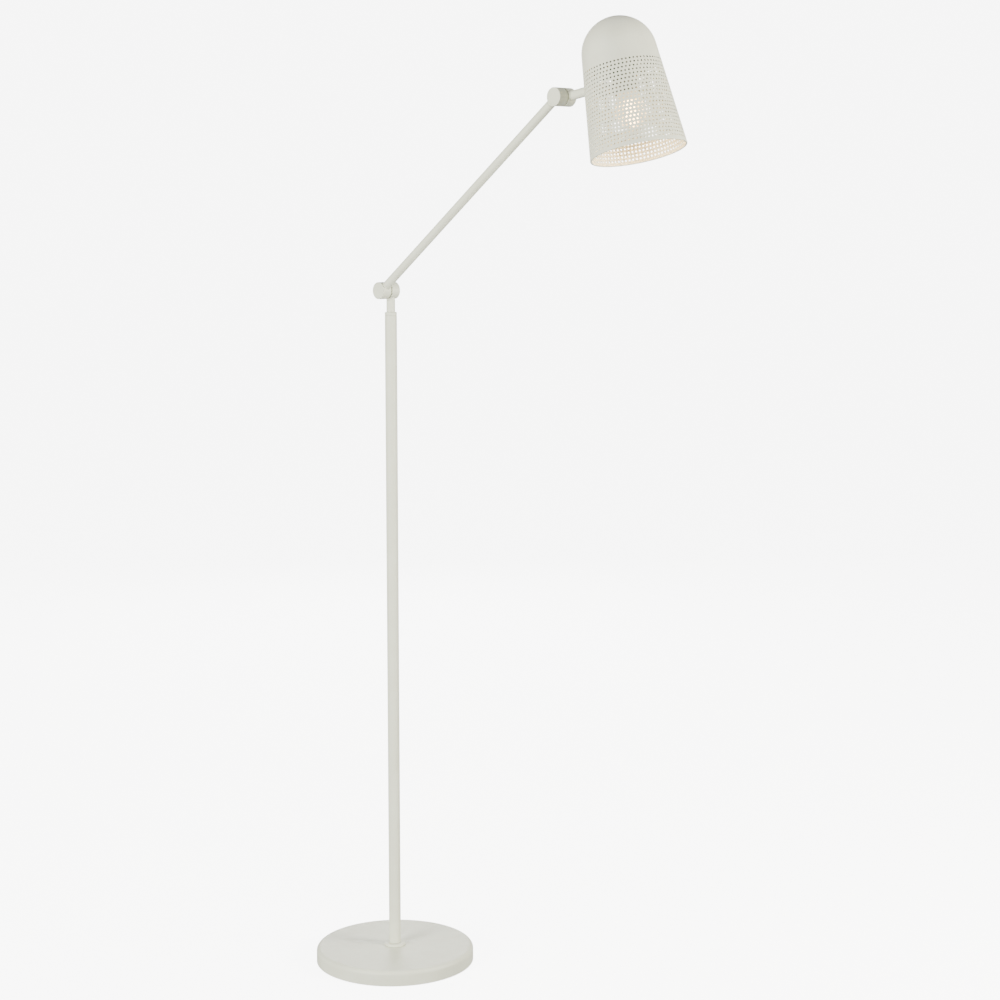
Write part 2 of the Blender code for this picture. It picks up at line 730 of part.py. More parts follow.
def make_socket(shade_frame):
    """Screw socket on the shade's axis, with its cap screwed to the bracket."""
    strap_top = BRACKET_LEVEL + BRACKET_THICKNESS / 2
    strap_bottom = BRACKET_LEVEL - BRACKET_THICKNESS / 2
    cap_top = strap_bottom - GAP
    body_radius = 19 * MM
    ring(
        "socket_nipple", THREAD_RADIUS, THREAD_BORE, cap_top - 8 * MM, strap_top + 5 * MM,
        paint="zinc_plate", parent=shade_frame,
    )
    hex_nut("socket_nut", NUT_FLATS, strap_top + GAP, strap_top + GAP + NUT_HEIGHT, "zinc_plate", shade_frame)
    cap_profile = [
        (THREAD_HOLE, cap_top),
        (15 * MM, cap_top),
        (body_radius, cap_top - 5 * MM),
        (body_radius, 128 * MM),
        (16.5 * MM, 128 * MM),
        (16.5 * MM, cap_top - 6 * MM),
        (14 * MM, cap_top - 2.5 * MM),
        (THREAD_HOLE, cap_top - 2.5 * MM),
    ]
    cap = turned("socket_cap", cap_profile, "phenolic", shade_frame)
    lead_hole = rod(
        "socket_lead_hole", 2.3 * MM, 12 * MM, 24 * MM, parent=shade_frame,
        at=(0, 0, 137 * MM), turn=TO_MINUS_X,
    )
    cut(cap, lead_hole)
    ring("socket_shell", body_radius, 15.4 * MM, 86 * MM, 127.7 * MM, paint="phenolic", parent=shade_frame)
    ring("socket_insulator", 15.0 * MM, 4.0 * MM, 116.3 * MM, 122.5 * MM, paint="ceramic", parent=shade_frame)
    shell_profile = [
        (14.0 * MM, 116.0 * MM),
        (14.0 * MM, 91.0 * MM),
        (13.5 * MM, 91.0 * MM),
        (13.5 * MM, 115.4 * MM),
        (5.0 * MM, 115.4 * MM),
        (5.0 * MM, 116.0 * MM),
    ]
    turned("screw_shell", shell_profile, "brass", shade_frame)
    contact_profile = [
        (0, 121.5 * MM),
        (3.5 * MM, 121.5 * MM),
        (3.5 * MM, 114.2 * MM),
        (2.0 * MM, 113.3 * MM),
        (0, 113.3 * MM),
    ]
    turned("centre_contact", contact_profile, "brass", shade_frame, sides=16)


def make_bulb(shade_frame):
    """Small round bulb: diffuser globe, board, white body and screw cap."""
    cut_height = 12 * MM
    wall = 1.2 * MM
    inner = BULB_RADIUS - wall
    outer_angle = math.degrees(math.asin(cut_height / BULB_RADIUS))
    inner_angle = math.degrees(math.asin(cut_height / inner))
    globe = arc(0, BULB_CENTRE, inner, -90, inner_angle, 6)
    globe[0] = (0, BULB_CENTRE - inner)
    globe += arc(0, BULB_CENTRE, BULB_RADIUS, outer_angle, -90, 7)
    globe[-1] = (0, BULB_CENTRE - BULB_RADIUS)
    turned("bulb_globe", globe, "bulb_white", shade_frame)
    seam = BULB_CENTRE + cut_height + GAP
    body = [
        (0, 89.7 * MM),
        (12.9 * MM, 89.7 * MM),
        (13.5 * MM, 88.0 * MM),
        (17.0 * MM, 80.0 * MM),
        (19.2 * MM, 74.0 * MM),
        (19.6 * MM, seam),
        (18.2 * MM, seam),
        (18.2 * MM, 76.0 * MM),
        (0, 76.0 * MM),
    ]
    turned("bulb_body", body, "bulb_white", shade_frame)
    rod("bulb_board", 17.6 * MM, 74.0 * MM, 75.6 * MM, paint="ceramic", parent=shade_frame)
    cap = [
        (0, 113.0 * MM),
        (3.5 * MM, 113.0 * MM),
        (5.0 * MM, 111.4 * MM),
        (11.5 * MM, 110.2 * MM),
        (13.0 * MM, 107.5 * MM),
        (13.0 * MM, 90.0 * MM),
        (0, 90.0 * MM),
    ]
    turned("bulb_cap", cap, "zinc_plate", shade_frame)


def make_head_lead(axis):
    """Lead through the knuckle and the stem, then up beside the bracket into the socket cap."""
    rise = BEND * math.sin(math.radians(45))
    route = [
        (0, JOINT_MIDDLE + GAP / 2, 0),
        (0, -MM, 0),
        (BEND - rise, rise - MM, 0),
        (BEND, BEND - MM, 0),
        (9 * MM, 2.3 * MM, 0),
        (12 * MM, 1.5 * MM, 0),
        (20 * MM, 0.6 * MM, 0),
        (32 * MM, 0, 0),
        (NECK_END + MM, 0, 0.2 * MM),
        (NECK_END + 8 * MM, 0, 4 * MM),
        (NECK_END + 12.5 * MM, 0, 12 * MM),
        (NECK_END + 14.5 * MM, 0, 21 * MM),
        (NECK_END + 18.5 * MM, 0, 28.7 * MM),
        (NECK_END + 25 * MM, 0, 30.9 * MM),
        (NECK_END + 30 * MM, 0, 31.4 * MM),
    ]
    lead("head_lead", route, axis)


# Finishing --------------------------------------------------------------------------------------
def settle(obj):
    """Turn a piece and its modifiers into a plain mesh, smooth where it is round."""
    graph = bpy.context.evaluated_depsgraph_get()
    mesh = bpy.data.meshes.new_from_object(obj.evaluated_get(graph), depsgraph=graph)
    if obj.type == "CURVE":
        tidy = bmesh.new()
        tidy.from_mesh(mesh)
        bmesh.ops.remove_doubles(tidy, verts=tidy.verts, dist=0.000001)
        tidy.to_mesh(mesh)
        tidy.free()
        settled = bpy.data.objects.new("settled", mesh)
        settled.matrix_world = obj.matrix_world
        settled.parent = obj.parent
        settled.matrix_parent_inverse = obj.matrix_parent_inverse
        settled.matrix_basis = obj.matrix_basis
        LAMP.objects.link(settled)
        name = obj.name
        bpy.data.objects.remove(obj, do_unlink=True)
        settled.name = name
    else:
        obj.modifiers.clear()
        obj.data = mesh
    mesh.shade_smooth()
    mesh.set_sharp_from_angle(angle=math.radians(32))


def main():
    """Build the lamp from the base up, then settle every piece."""
    make_base_cover()
    make_base_weight()
    make_base_pad()
    make_cord_gland()
    make_pole_fixing()
    make_pole()
    make_pole_lead()

    swivel_axis = frame("arm_swivel_axis", None, (0, 0, SWIVEL_HEIGHT), 0)
    make_swivel(swivel_axis)
    arm_axis = frame("arm_tilt_axis", swivel_axis, (0, 0, LOWER_PIVOT_RISE), -ARM_ELEVATION)
    make_arm(arm_axis)
    head_axis = frame("head_tilt_axis", arm_axis, (ARM_LENGTH, 0, 0), ARM_ELEVATION - STEM_RISE)
    make_head_stem(head_axis)
    across = (math.cos(CONE_ANGLE), math.sin(CONE_ANGLE))
    up = (-math.sin(CONE_ANGLE), math.cos(CONE_ANGLE))
    mouth = (
        STEM_REACH + ENTRY_RADIUS * across[0] - STEM_ENTRY * up[0],
        0,
        ENTRY_RADIUS * across[1] - STEM_ENTRY * up[1],
    )
    shade_frame = frame("shade_mouth", head_axis, mouth, -CONE_ANGLE)
    make_shade(shade_frame, head_axis)
    make_bracket(shade_frame, head_axis)
    make_socket(shade_frame)
    make_bulb(shade_frame)
    make_head_lead(head_axis)

    bpy.context.view_layer.update()
    for obj in [piece for piece in LAMP.objects if piece.type != "EMPTY"]:
        settle(obj)


main()
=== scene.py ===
"""Looks of the adjustable arm floor lamp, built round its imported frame.

Everything is in metres in the lamp's own frame: +Z is up, the pole stands on the Z axis and the
arm points to +X. Lengths in the lists of corners are in millimetres.
"""

import math

import bpy
import numpy as np
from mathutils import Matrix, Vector


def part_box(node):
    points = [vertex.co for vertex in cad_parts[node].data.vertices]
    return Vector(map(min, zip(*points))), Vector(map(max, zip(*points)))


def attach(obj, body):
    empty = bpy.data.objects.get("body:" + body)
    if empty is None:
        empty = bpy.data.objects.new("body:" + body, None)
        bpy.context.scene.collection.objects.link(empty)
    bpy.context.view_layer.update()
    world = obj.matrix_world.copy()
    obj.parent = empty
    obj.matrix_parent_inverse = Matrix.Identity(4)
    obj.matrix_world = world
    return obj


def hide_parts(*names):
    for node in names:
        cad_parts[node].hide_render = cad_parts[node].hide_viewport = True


bl_info = {
    "name": "Adjustable arm floor lamp",
    "version": (1, 0, 0),
    "blender": (4, 5, 0),
    "location": "View3D > Sidebar > Floor lamp",
    "description": "Builds the painted, perforated and lit pieces of a floor lamp on its frame",
    "category": "Object",
}

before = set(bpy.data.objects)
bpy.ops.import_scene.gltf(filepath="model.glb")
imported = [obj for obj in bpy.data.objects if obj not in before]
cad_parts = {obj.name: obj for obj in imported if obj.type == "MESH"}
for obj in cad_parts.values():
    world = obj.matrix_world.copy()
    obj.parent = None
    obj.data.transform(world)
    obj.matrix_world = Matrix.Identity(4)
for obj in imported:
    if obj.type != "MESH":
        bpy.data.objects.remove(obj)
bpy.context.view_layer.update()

MM = 0.001
SAME_PLACE = 1e-7
NO_LENGTH = 1e-12
NO_ANGLE = 1e-9
RIM_POINTS = 12


# Where things are --------------------------------------------------------------------------------
def middle(node):
    """The centre of a frame node's box."""
    low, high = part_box(node)
    return (np.array(low) + np.array(high)) / 2


def unit(vector):
    """Vectors scaled to length one, along their last axis."""
    vector = np.asarray(vector, float)
    return vector / np.maximum(np.linalg.norm(vector, axis=-1, keepdims=True), NO_LENGTH)


class Place:
    """A set of axes on the lamp. Local (x, y, z) lie across, to the side of and along the piece."""

    def __init__(self, origin, along, across):
        self.origin = np.asarray(origin, float)
        self.along = unit(along)
        self.across = unit(across - np.dot(across, self.along) * self.along)
        self.side = np.cross(self.along, self.across)

    def put(self, points):
        """Local points, as points in the lamp's frame."""
        return self.origin + points @ np.array([self.across, self.side, self.along])


X_AXIS, Y_AXIS, Z_AXIS = np.eye(3)

LOWER_PIVOT = middle("lower_friction_washer") * (1, 0, 1)
UPPER_PIVOT = middle("upper_friction_washer") * (1, 0, 1)
JOINT_Y = middle("lower_friction_washer")[1]
HALF_GAP = 0.5 * MM
ARM_WAY = unit(UPPER_PIVOT - LOWER_PIVOT)
STEM_WAY = unit((middle("head_stem_washer") - UPPER_PIVOT) * (1, 0, 1))
SHADE_WAY = unit((middle("socket_shell") - middle("bulb_board")) * (1, 0, 1))
BOARD_LEVEL = 74.8 * MM

ON_POLE = Place((0, 0, 0), Z_AXIS, X_AXIS)
ON_SWIVEL = Place((0, 0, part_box("pole_collar")[1].z), Z_AXIS, X_AXIS)
ON_GLAND = Place(middle("cord_gland") * (0, 0, 1), -X_AXIS, Z_AXIS)
ON_STEM = Place(UPPER_PIVOT, STEM_WAY, Y_AXIS)
ON_SHADE = Place(middle("bulb_board") * (1, 0, 1) - BOARD_LEVEL * SHADE_WAY, SHADE_WAY, X_AXIS)


# Surfaces ----------------------------------------------------------------------------------------
def rounded(corners, steps=6):
    """A line with its corners rounded off, from corners given as (radius, height, rounding) in mm.

    A rounding of size p leaves each side p / tan(h) before the corner, where h is half the angle
    between the sides, and follows a circle about the point p / sin(h) up the bisector. One more
    point stands half a rounding outside each end, so a flat side stays flat when it is shaded.
    """
    table = np.array(corners, float) * MM
    corner, size = table[:, :2], table[:, 2:]
    back = unit(np.roll(corner, 1, 0) - corner)
    ahead = unit(np.roll(corner, -1, 0) - corner)
    half = np.arccos(np.clip((back * ahead).sum(1, keepdims=True), -1, 1)) / 2
    trim = size / np.maximum(np.tan(half), NO_ANGLE)
    centre = corner + unit(back + ahead) * size / np.maximum(np.sin(half), NO_ANGLE)
    first = unit(corner + back * trim - centre)
    last = unit(corner + ahead * trim - centre)
    sweep = np.maximum(math.pi - 2 * half, 1e-6)[:, :, None]
    share = np.linspace(0, 1, steps + 1)[None, :, None]
    turn = np.sin((1 - share) * sweep) * first[:, None] + np.sin(share * sweep) * last[:, None]
    arc = centre[:, None] + turn / np.sin(sweep) * size[:, None]
    arc = np.where(size[:, None] > 0, arc, corner[:, None])
    lead_in = corner + back * (trim + size / 2)
    lead_out = corner + ahead * (trim + size / 2)
    line = np.concatenate([lead_in[:, None], arc, lead_out[:, None]], 1).reshape(-1, 2)
    moved = np.linalg.norm(line - np.roll(line, 1, 0), axis=1) > SAME_PLACE
    return line[moved]


def strip(rings, count, closed):
    """Quads between neighbouring rings of a grid that has count points in each ring."""
    row = np.arange(rings if closed else rings - 1)[:, None]
    column = np.arange(count)[None, :]
    after = (column + 1) % count
    above = (row + 1) % rings
    quads = [
        row * count + column, row * count + after,
        above * count + after, above * count + column,
    ]
    return np.stack(quads, -1).reshape(-1, 4)


def turned(line, place, sides=64):
    """A line of (radius, height) turned about a place's own axis.

    Point (i, j) is (r cos a, r sin a, h) for the i-th radius and height, where a is the j-th of
    the equal turns. A line that begins and ends on the axis closes there in two points, and any
    other closes on itself as a ring.
    """
    on_axis = line[0, 0] < SAME_PLACE and line[-1, 0] < SAME_PLACE
    body = line[1:-1] if on_axis else line
    angle = np.arange(sides) * 2 * math.pi / sides
    radius, height = body[:, :1], body[:, 1:]
    grid = [radius * np.cos(angle), radius * np.sin(angle), height + 0 * angle]
    points = np.stack(grid, -1).reshape(-1, 3)
    faces = strip(len(body), sides, not on_axis).tolist()
    if on_axis:
        column = np.arange(sides)
        after = (column + 1) % sides
        base = (len(body) - 1) * sides
        first, last = len(points), len(points) + 1
        ends = [(0, 0, line[0, 1]), (0, 0, line[-1, 1])]
        points = np.concatenate([points, ends])
        faces += np.stack([after, column, 0 * column + first], -1).tolist()
        faces += np.stack([base + column, base + after, 0 * column + last], -1).tolist()
    return place.put(points), faces


def signed_volume(points, faces):
    """The volume inside a closed surface, which is negative where its faces point inwards.

    Each face is a fan of triangles, and each adds a sixth of the product of its corners.
    """
    total = 0.0
    for size in (3, 4, RIM_POINTS):
        flat = np.array([face for face in faces if len(face) == size], int).reshape(-1, size)
        for step in range(1, size - 1):
            a, b, c = points[flat[:, 0]], points[flat[:, step]], points[flat[:, step + 1]]
            total += (a * np.cross(b, c)).sum() / 6
    return total


def new_object(name, points, faces):
    """An object with this closed surface, its faces turned to point outwards."""
    if signed_volume(points, faces) < 0:
        faces = [face[::-1] for face in faces]
    mesh = bpy.data.meshes.new(name)
    mesh.from_pydata(points.tolist(), [], faces)
    obj = bpy.data.objects.new(name, mesh)
    bpy.context.scene.collection.objects.link(obj)
    return obj


def combine(obj, operation, *tools):
    """Join the tools to a piece, or cut them from it, for good."""
    for tool in tools:
        modifier = obj.modifiers.new(operation, "BOOLEAN")
        modifier.operation = operation
        modifier.solver = "EXACT"
        modifier.object = tool
    graph = bpy.context.evaluated_depsgraph_get()
    mesh = bpy.data.meshes.new_from_object(obj.evaluated_get(graph), depsgraph=graph)
    obj.modifiers.clear()
    old, obj.data = obj.data, mesh
    bpy.data.meshes.remove(old)
    mesh.name = obj.name
    for tool in tools:
        mesh = tool.data
        bpy.data.objects.remove(tool)
        bpy.data.meshes.remove(mesh)


def rod(radius, low, high, place, sides=48):
    """A plain round cutter from low to high, all in mm."""
    line = np.array([(0, high), (radius, high), (radius, low), (0, low)]) * MM
    return new_object("cutter", *turned(line, place, sides))


def dress(obj, body, node, slot, crease=34):
    """Finish a piece: smooth shading, its material, its body and the frame node it stands for."""
    obj.name = node + "_fine"
    obj.data.name = obj.name
    obj.data.materials.clear()
    obj.data.materials.append(finish(slot))
    obj.data.shade_smooth()
    obj.data.set_sharp_from_angle(angle=math.radians(crease))
    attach(obj, body)
    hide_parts(node)


def add_turned(node, body, slot, place, corners, sides=64):
    """A finished turned piece that stands for one frame node."""
    obj = new_object(node, *turned(rounded(corners), place, sides))
    dress(obj, body, node, slot)
    return obj


# Materials ---------------------------------------------------------------------------------------
def colour(code):
    """An sRGB hex code as linear red, green and blue."""
    channel = np.array([int(code[i:i + 2], 16) for i in (0, 2, 4)]) / 255
    low, high = channel / 12.92, ((channel + 0.055) / 1.055) ** 2.4
    return tuple(np.where(channel <= 0.04045, low, high).tolist())


def add_node(tree, kind, inputs=(), **settings):
    """Add a node, give it its settings, and fill or link its inputs."""
    node = tree.nodes.new(kind)
    for key, value in settings.items():
        setattr(node, key, value)
    for key, value in dict(inputs).items():
        if isinstance(value, bpy.types.NodeSocket):
            tree.links.new(value, node.inputs[key])
        else:
            node.inputs[key].default_value = value
    return node


# The Mix node's sockets for two colours: their share, the two colours and the result
MIX_SHARE, MIX_FIRST, MIX_SECOND, MIX_RESULT = 0, 6, 7, 2


class Grain:
    """A pattern with features of one size in mm, drawn on a piece's own coordinates.

    It is cloudy noise, or the round closed cells of a foam. Stretch packs it that many times as
    tight along each axis. Low and high are the noise values that stand for the two ends of what
    it drives, since noise seldom comes near 0 or 1.
    """

    def __init__(self, size, detail=2.0, rough=0.5, stretch=None, low=0.3, high=0.7, cells=False):
        self.scale = {"Scale": 1 / (size * MM)}
        self.noise = {"Detail": detail, "Roughness": rough}
        self.stretch, self.low, self.high, self.cells = stretch, low, high, cells

    def draw(self, tree, where, ends=None):
        """The pattern as a socket. Noise is stretched to run between two ends if they are given."""
        if self.stretch:
            factors = {"Vector": where, "Scale": self.stretch}
            where = add_node(tree, "ShaderNodeMapping", factors).outputs["Vector"]
        if self.cells:
            cells = add_node(tree, "ShaderNodeTexVoronoi", {"Vector": where, **self.scale})
            return cells.outputs["Distance"]
        noise = {"Vector": where, **self.scale, **self.noise}
        share = add_node(tree, "ShaderNodeTexNoise", noise).outputs["Fac"]
        if ends is None:
            return share
        span = {
            "Value": share, "From Min": self.low, "From Max": self.high,
            "To Min": ends[0], "To Max": ends[1],
        }
        return add_node(tree, "ShaderNodeMapRange", span).outputs["Result"]


def grained(name, values, tint=None, sheen=None, relief=(), over=None):
    """A Principled material whose colour, roughness and relief each follow a pattern.

    Tint is a grain and the two colours that it runs between, sheen a grain and two roughnesses,
    and relief a row of grains with their full heights in mm, each laid on the one before. Over is
    a piece's attribute, with the colour that the piece turns to where it reaches 1. Whatever is
    the same all over is a value on the shader's own socket.
    """
    material = bpy.data.materials.new(name)
    material.use_nodes = True
    tree = material.node_tree
    tree.nodes.clear()
    shader = add_node(tree, "ShaderNodeBsdfPrincipled", values)
    add_node(tree, "ShaderNodeOutputMaterial", {"Surface": shader.outputs["BSDF"]})
    where = add_node(tree, "ShaderNodeTexCoord").outputs["Object"]

    layers = []
    if tint:
        grain, first, second = tint
        layers.append((grain.draw(tree, where, (0, 1)), second))
        below = (*first, 1)
    if over:
        depth = add_node(tree, "ShaderNodeAttribute", attribute_name=over[0])
        layers.append((depth.outputs["Fac"], over[1]))
    for share, above in layers:
        colours = {MIX_SHARE: share, MIX_FIRST: below, MIX_SECOND: (*above, 1)}
        mix = add_node(tree, "ShaderNodeMix", colours, data_type="RGBA")
        below = mix.outputs[MIX_RESULT]
    if layers:
        tree.links.new(below, shader.inputs["Base Color"])

    if sheen:
        grain, low, high = sheen
        tree.links.new(grain.draw(tree, where, (low, high)), shader.inputs["Roughness"])

    under = {}
    for grain, height in relief:
        bump = {
            "Height": grain.draw(tree, where), "Distance": height * MM, "Strength": 1.0, **under
        }
        under = {"Normal": add_node(tree, "ShaderNodeBump", bump).outputs["Normal"]}
    if under:
        tree.links.new(under["Normal"], shader.inputs["Normal"])
    return material


def between(grain, first, second):
    """A tint from two hex codes."""
    return grain, colour(first), colour(second)


# Name of the attribute that masks the painted shade inside the top of the shade
PAINTED_SHADE_ATTRIBUTE = "painted_shade_inside"


def coated_steel(name, light, dark, painted_shade=None):
    """Polyester powder coat on steel, sprayed dry and fused in an oven.

    It gives a warm off-white satin with no sparkle. The film flows into a fine orange peel, drawn
    at 1.6 mm because its real 0.8 mm is too fine to show, and its thickness drifts over a few
    centimetres, which moves the colour and the sheen by a few parts in a hundred. Given a painted
    shade colour, the inside of a cup darkens to it towards the top: painted shade.
    """
    return grained(
        name, {"IOR": 1.5},
        tint=(Grain(38, 3.0, 0.55), light, dark),
        sheen=(Grain(9, 4.0, 0.6), 0.46, 0.6),
        relief=((Grain(6, 1.0), 0.03), (Grain(1.6), 0.012)),
        over=None if painted_shade is None else (PAINTED_SHADE_ATTRIBUTE, painted_shade),
    )


def cast_iron(name):
    """Grey iron cast in sand: dark and dull, with a brown-tinted gritty skin of 0.9 mm grains."""
    return grained(
        name, {"Metallic": 0.8},
        tint=between(Grain(14, 5.0, 0.6), "3A3A3C", "4A443F"),
        sheen=(Grain(4, 3.0), 0.62, 0.8),
        relief=((Grain(0.9, 3.0, 0.65), 0.12),),
    )


def cell_foam(name):
    """EVA foam, skived from a block: black, matt, and pitted by its closed cells of about 1 mm."""
    cells = Grain(1.0, cells=True)
    return grained(
        name, {"Roughness": 0.95, "IOR": 1.48},
        tint=between(cells, "1F1F20", "363637"),
        relief=((cells, 0.2),),
    )


def zinc_plate(name):
    """Bright zinc electroplate on turned and pressed steel: blue-white metal with draw lines.

    The lines are 0.5 mm apart, since real ones of 0.1 mm would not show.
    """
    return grained(
        name, {"Metallic": 1.0},
        tint=between(Grain(7, 3.0), "C9CBCC", "B5BAC2"),
        sheen=(Grain(2.5, 3.0), 0.28, 0.45),
        relief=((Grain(4, stretch=(1, 1, 8)), 0.02),),
    )


def drawn_brass(name):
    """Brass strip, drawn and left uncoated: warm yellow metal that has begun to dull in patches."""
    return grained(
        name, {"Metallic": 1.0},
        tint=between(Grain(5, 4.0), "CFAA58", "B08B42"),
        sheen=(Grain(3), 0.22, 0.42),
        relief=((Grain(2, stretch=(1, 1, 5)), 0.015),),
    )


def moulded_nylon(name):
    """Natural nylon 6, moulded: creamy, waxy and slightly translucent, with soft flow marks."""
    values = {"IOR": 1.53, "Subsurface Weight": 0.15, "Subsurface Radius": (0.002, 0.0018, 0.0014)}
    return grained(
        name, values,
        tint=between(Grain(6), "E9E6DC", "DED9CA"),
        sheen=(Grain(3), 0.38, 0.5),
        relief=((Grain(2.2), 0.01),),
    )


def moulded_rubber(name):
    """Soft black PVC, moulded in a sparked tool: charcoal, matt, with a 0.7 mm grain."""
    return grained(
        name, {"IOR": 1.52},
        tint=between(Grain(5, 3.0), "222222", "2E2E2F"),
        sheen=(Grain(1.5), 0.6, 0.78),
        relief=((Grain(0.7, 3.0), 0.03),),
    )


def vulcanised_fibre(name):
    """Red-brown vulcanised fibre, punched from sheet: dull, with paper fibres a few mm long."""
    strands = Grain(2.4, 5.0, 0.7, stretch=(1, 1, 6))
    return grained(
        name, {"IOR": 1.5, "Roughness": 0.82},
        tint=between(strands, "5B3A2A", "7A513A"),
        relief=((strands, 0.04),),
    )


def moulded_phenolic(name):
    """Black phenolic resin, pressed with wood flour: hard semi-gloss with faint brown marbling."""
    return grained(
        name, {"IOR": 1.6},
        tint=between(Grain(8, 5.0, 0.62, low=0.4, high=0.75), "1B1A19", "332A24"),
        sheen=(Grain(4), 0.28, 0.4),
        relief=((Grain(3), 0.012),),
    )


def fired_ceramic(name):
    """Unglazed steatite, pressed and fired: chalk white with a 0.6 mm tooth and cream specks."""
    return grained(
        name, {"IOR": 1.55},
        tint=between(Grain(2, 4.0), "F1EFE9", "E2DDD0"),
        sheen=(Grain(2), 0.4, 0.6),
        relief=((Grain(0.6), 0.02),),
    )


def extruded_sheath(name):
    """Off-white PVC lead sheath, extruded: soft satin with faint lines along it."""
    return grained(
        name, {"IOR": 1.53},
        tint=between(Grain(12), "DCDCD8", "CFCEC6"),
        sheen=(Grain(3), 0.42, 0.56),
        relief=((Grain(3, 1.0, stretch=(6, 6, 1)), 0.01),),
    )


def frosted_diffuser(name, warm, strength, cover):
    """Frosted polycarbonate lit from behind: an even warm white, dimmer in its thick spots.

    The globe's thin wall covers only part of what is behind it, so the light column shows as a
    brighter heart. The column itself covers everything.
    """
    values = {
        "IOR": 1.58, "Roughness": 0.55, "Alpha": cover,
        "Emission Color": (*warm, 1), "Emission Strength": strength,
    }
    return grained(
        name, values,
        tint=between(Grain(6), "F6F3EA", "E8E2D2"),
        relief=((Grain(0.8), 0.01),),
    )


def white_thermoplastic(name, warm):
    """White PBT, injection moulded: smooth satin with a spark-eroded grain drawn at 0.8 mm.

    The wall is thin enough for a little of the bulb's own light to show through it.
    """
    return grained(
        name, {"IOR": 1.55, "Emission Color": (*warm, 1), "Emission Strength": 1.4},
        tint=between(Grain(10), "F2F1EC", "E6E4DC"),
        sheen=(Grain(4), 0.36, 0.48),
        relief=((Grain(0.8), 0.012),),
    )


def nickel_plate(name):
    """Nickel-plated steel lamp cap, rolled: warm grey metal with scuffs from being screwed in."""
    return grained(
        name, {"Metallic": 1.0},
        tint=between(Grain(5, 3.0), "CBC8C1", "B3AFA6"),
        sheen=(Grain(3, 4.0, stretch=(1, 1, 7)), 0.22, 0.5),
        relief=((Grain(1.2), 0.01),),
    )


# The share of what is behind the globe that its wall hides
GLOBE_COVER = 0.3


def make_finish(slot):
    """The material for one of the lamp's slots."""
    paint = bpy.context.scene.floor_lamp_finishes
    makers = {
        "powder_coat": lambda: coated_steel("powder_coated_steel", paint.coat, paint.coat_thin),
        # The shade's coat darkens inside towards its top: painted shade
        "shade_coat": lambda: coated_steel(
            "powder_coated_shade", paint.shade, paint.shade_thin, paint.inner_painted_shade
        ),
        "cast_iron": lambda: cast_iron("sand_cast_iron"),
        "foam": lambda: cell_foam("eva_foam"),
        "zinc_plate": lambda: zinc_plate("bright_zinc_plate"),
        "brass": lambda: drawn_brass("drawn_brass"),
        "nylon": lambda: moulded_nylon("moulded_nylon"),
        "gland_rubber": lambda: moulded_rubber("moulded_soft_pvc"),
        "fibre": lambda: vulcanised_fibre("vulcanised_fibre"),
        "phenolic": lambda: moulded_phenolic("moulded_phenolic"),
        "ceramic": lambda: fired_ceramic("fired_steatite"),
        "lead_sheath": lambda: extruded_sheath("extruded_pvc_sheath"),
        "bulb_diffuser": lambda: frosted_diffuser(
            "frosted_diffuser", paint.glow, paint.haze, GLOBE_COVER
        ),
        "light_column": lambda: frosted_diffuser(
            "light_column", paint.glow, paint.glow_strength, 1
        ),
        "bulb_body": lambda: white_thermoplastic("moulded_white_pbt", paint.glow),
        "bulb_cap": lambda: nickel_plate("nickel_plated_cap"),
    }
    return makers[slot]()


FINISHES = {}


def finish(slot):
    """The material of a slot, made the first time that it is asked for."""
    if slot not in FINISHES:
        FINISHES[slot] = make_finish(slot)
    return FINISHES[slot]


# What a user may change --------------------------------------------------------------------------
class FloorLampSizes(bpy.types.PropertyGroup):
    """Sizes of the fine pieces that the frame leaves open."""

    hole_diameter: bpy.props.FloatProperty(
        name="Hole diameter", description="Diameter of one hole in the shade",
        default=2.65 * MM, min=0.5 * MM, max=4 * MM, precision=4, unit="LENGTH",
    )
    hole_pitch: bpy.props.FloatProperty(
        name="Hole pitch", description="Distance between holes along a row",
        default=5.38 * MM, min=4.5 * MM, max=20 * MM, precision=5, unit="LENGTH",
    )
    row_spacing: bpy.props.FloatProperty(
        name="Row spacing", description="Distance between rows of holes along the shade",
        default=5.39 * MM, min=5.2 * MM, max=20 * MM, precision=5, unit="LENGTH",
    )
    first_row: bpy.props.FloatProperty(
        name="First row", description="Height of the lowest row of holes above the mouth",
        default=6.8 * MM, min=6 * MM, max=30 * MM, precision=4, unit="LENGTH",
    )
    row_count: bpy.props.IntProperty(
        name="Rows", description="Number of rows of holes", default=22, min=1, max=22,
    )
    bead: bpy.props.FloatProperty(
        name="Rolled edge", description="Thickness of the rolled edge inside the mouth",
        default=2.7 * MM, min=1.5 * MM, max=3.2 * MM, precision=4, unit="LENGTH",
    )


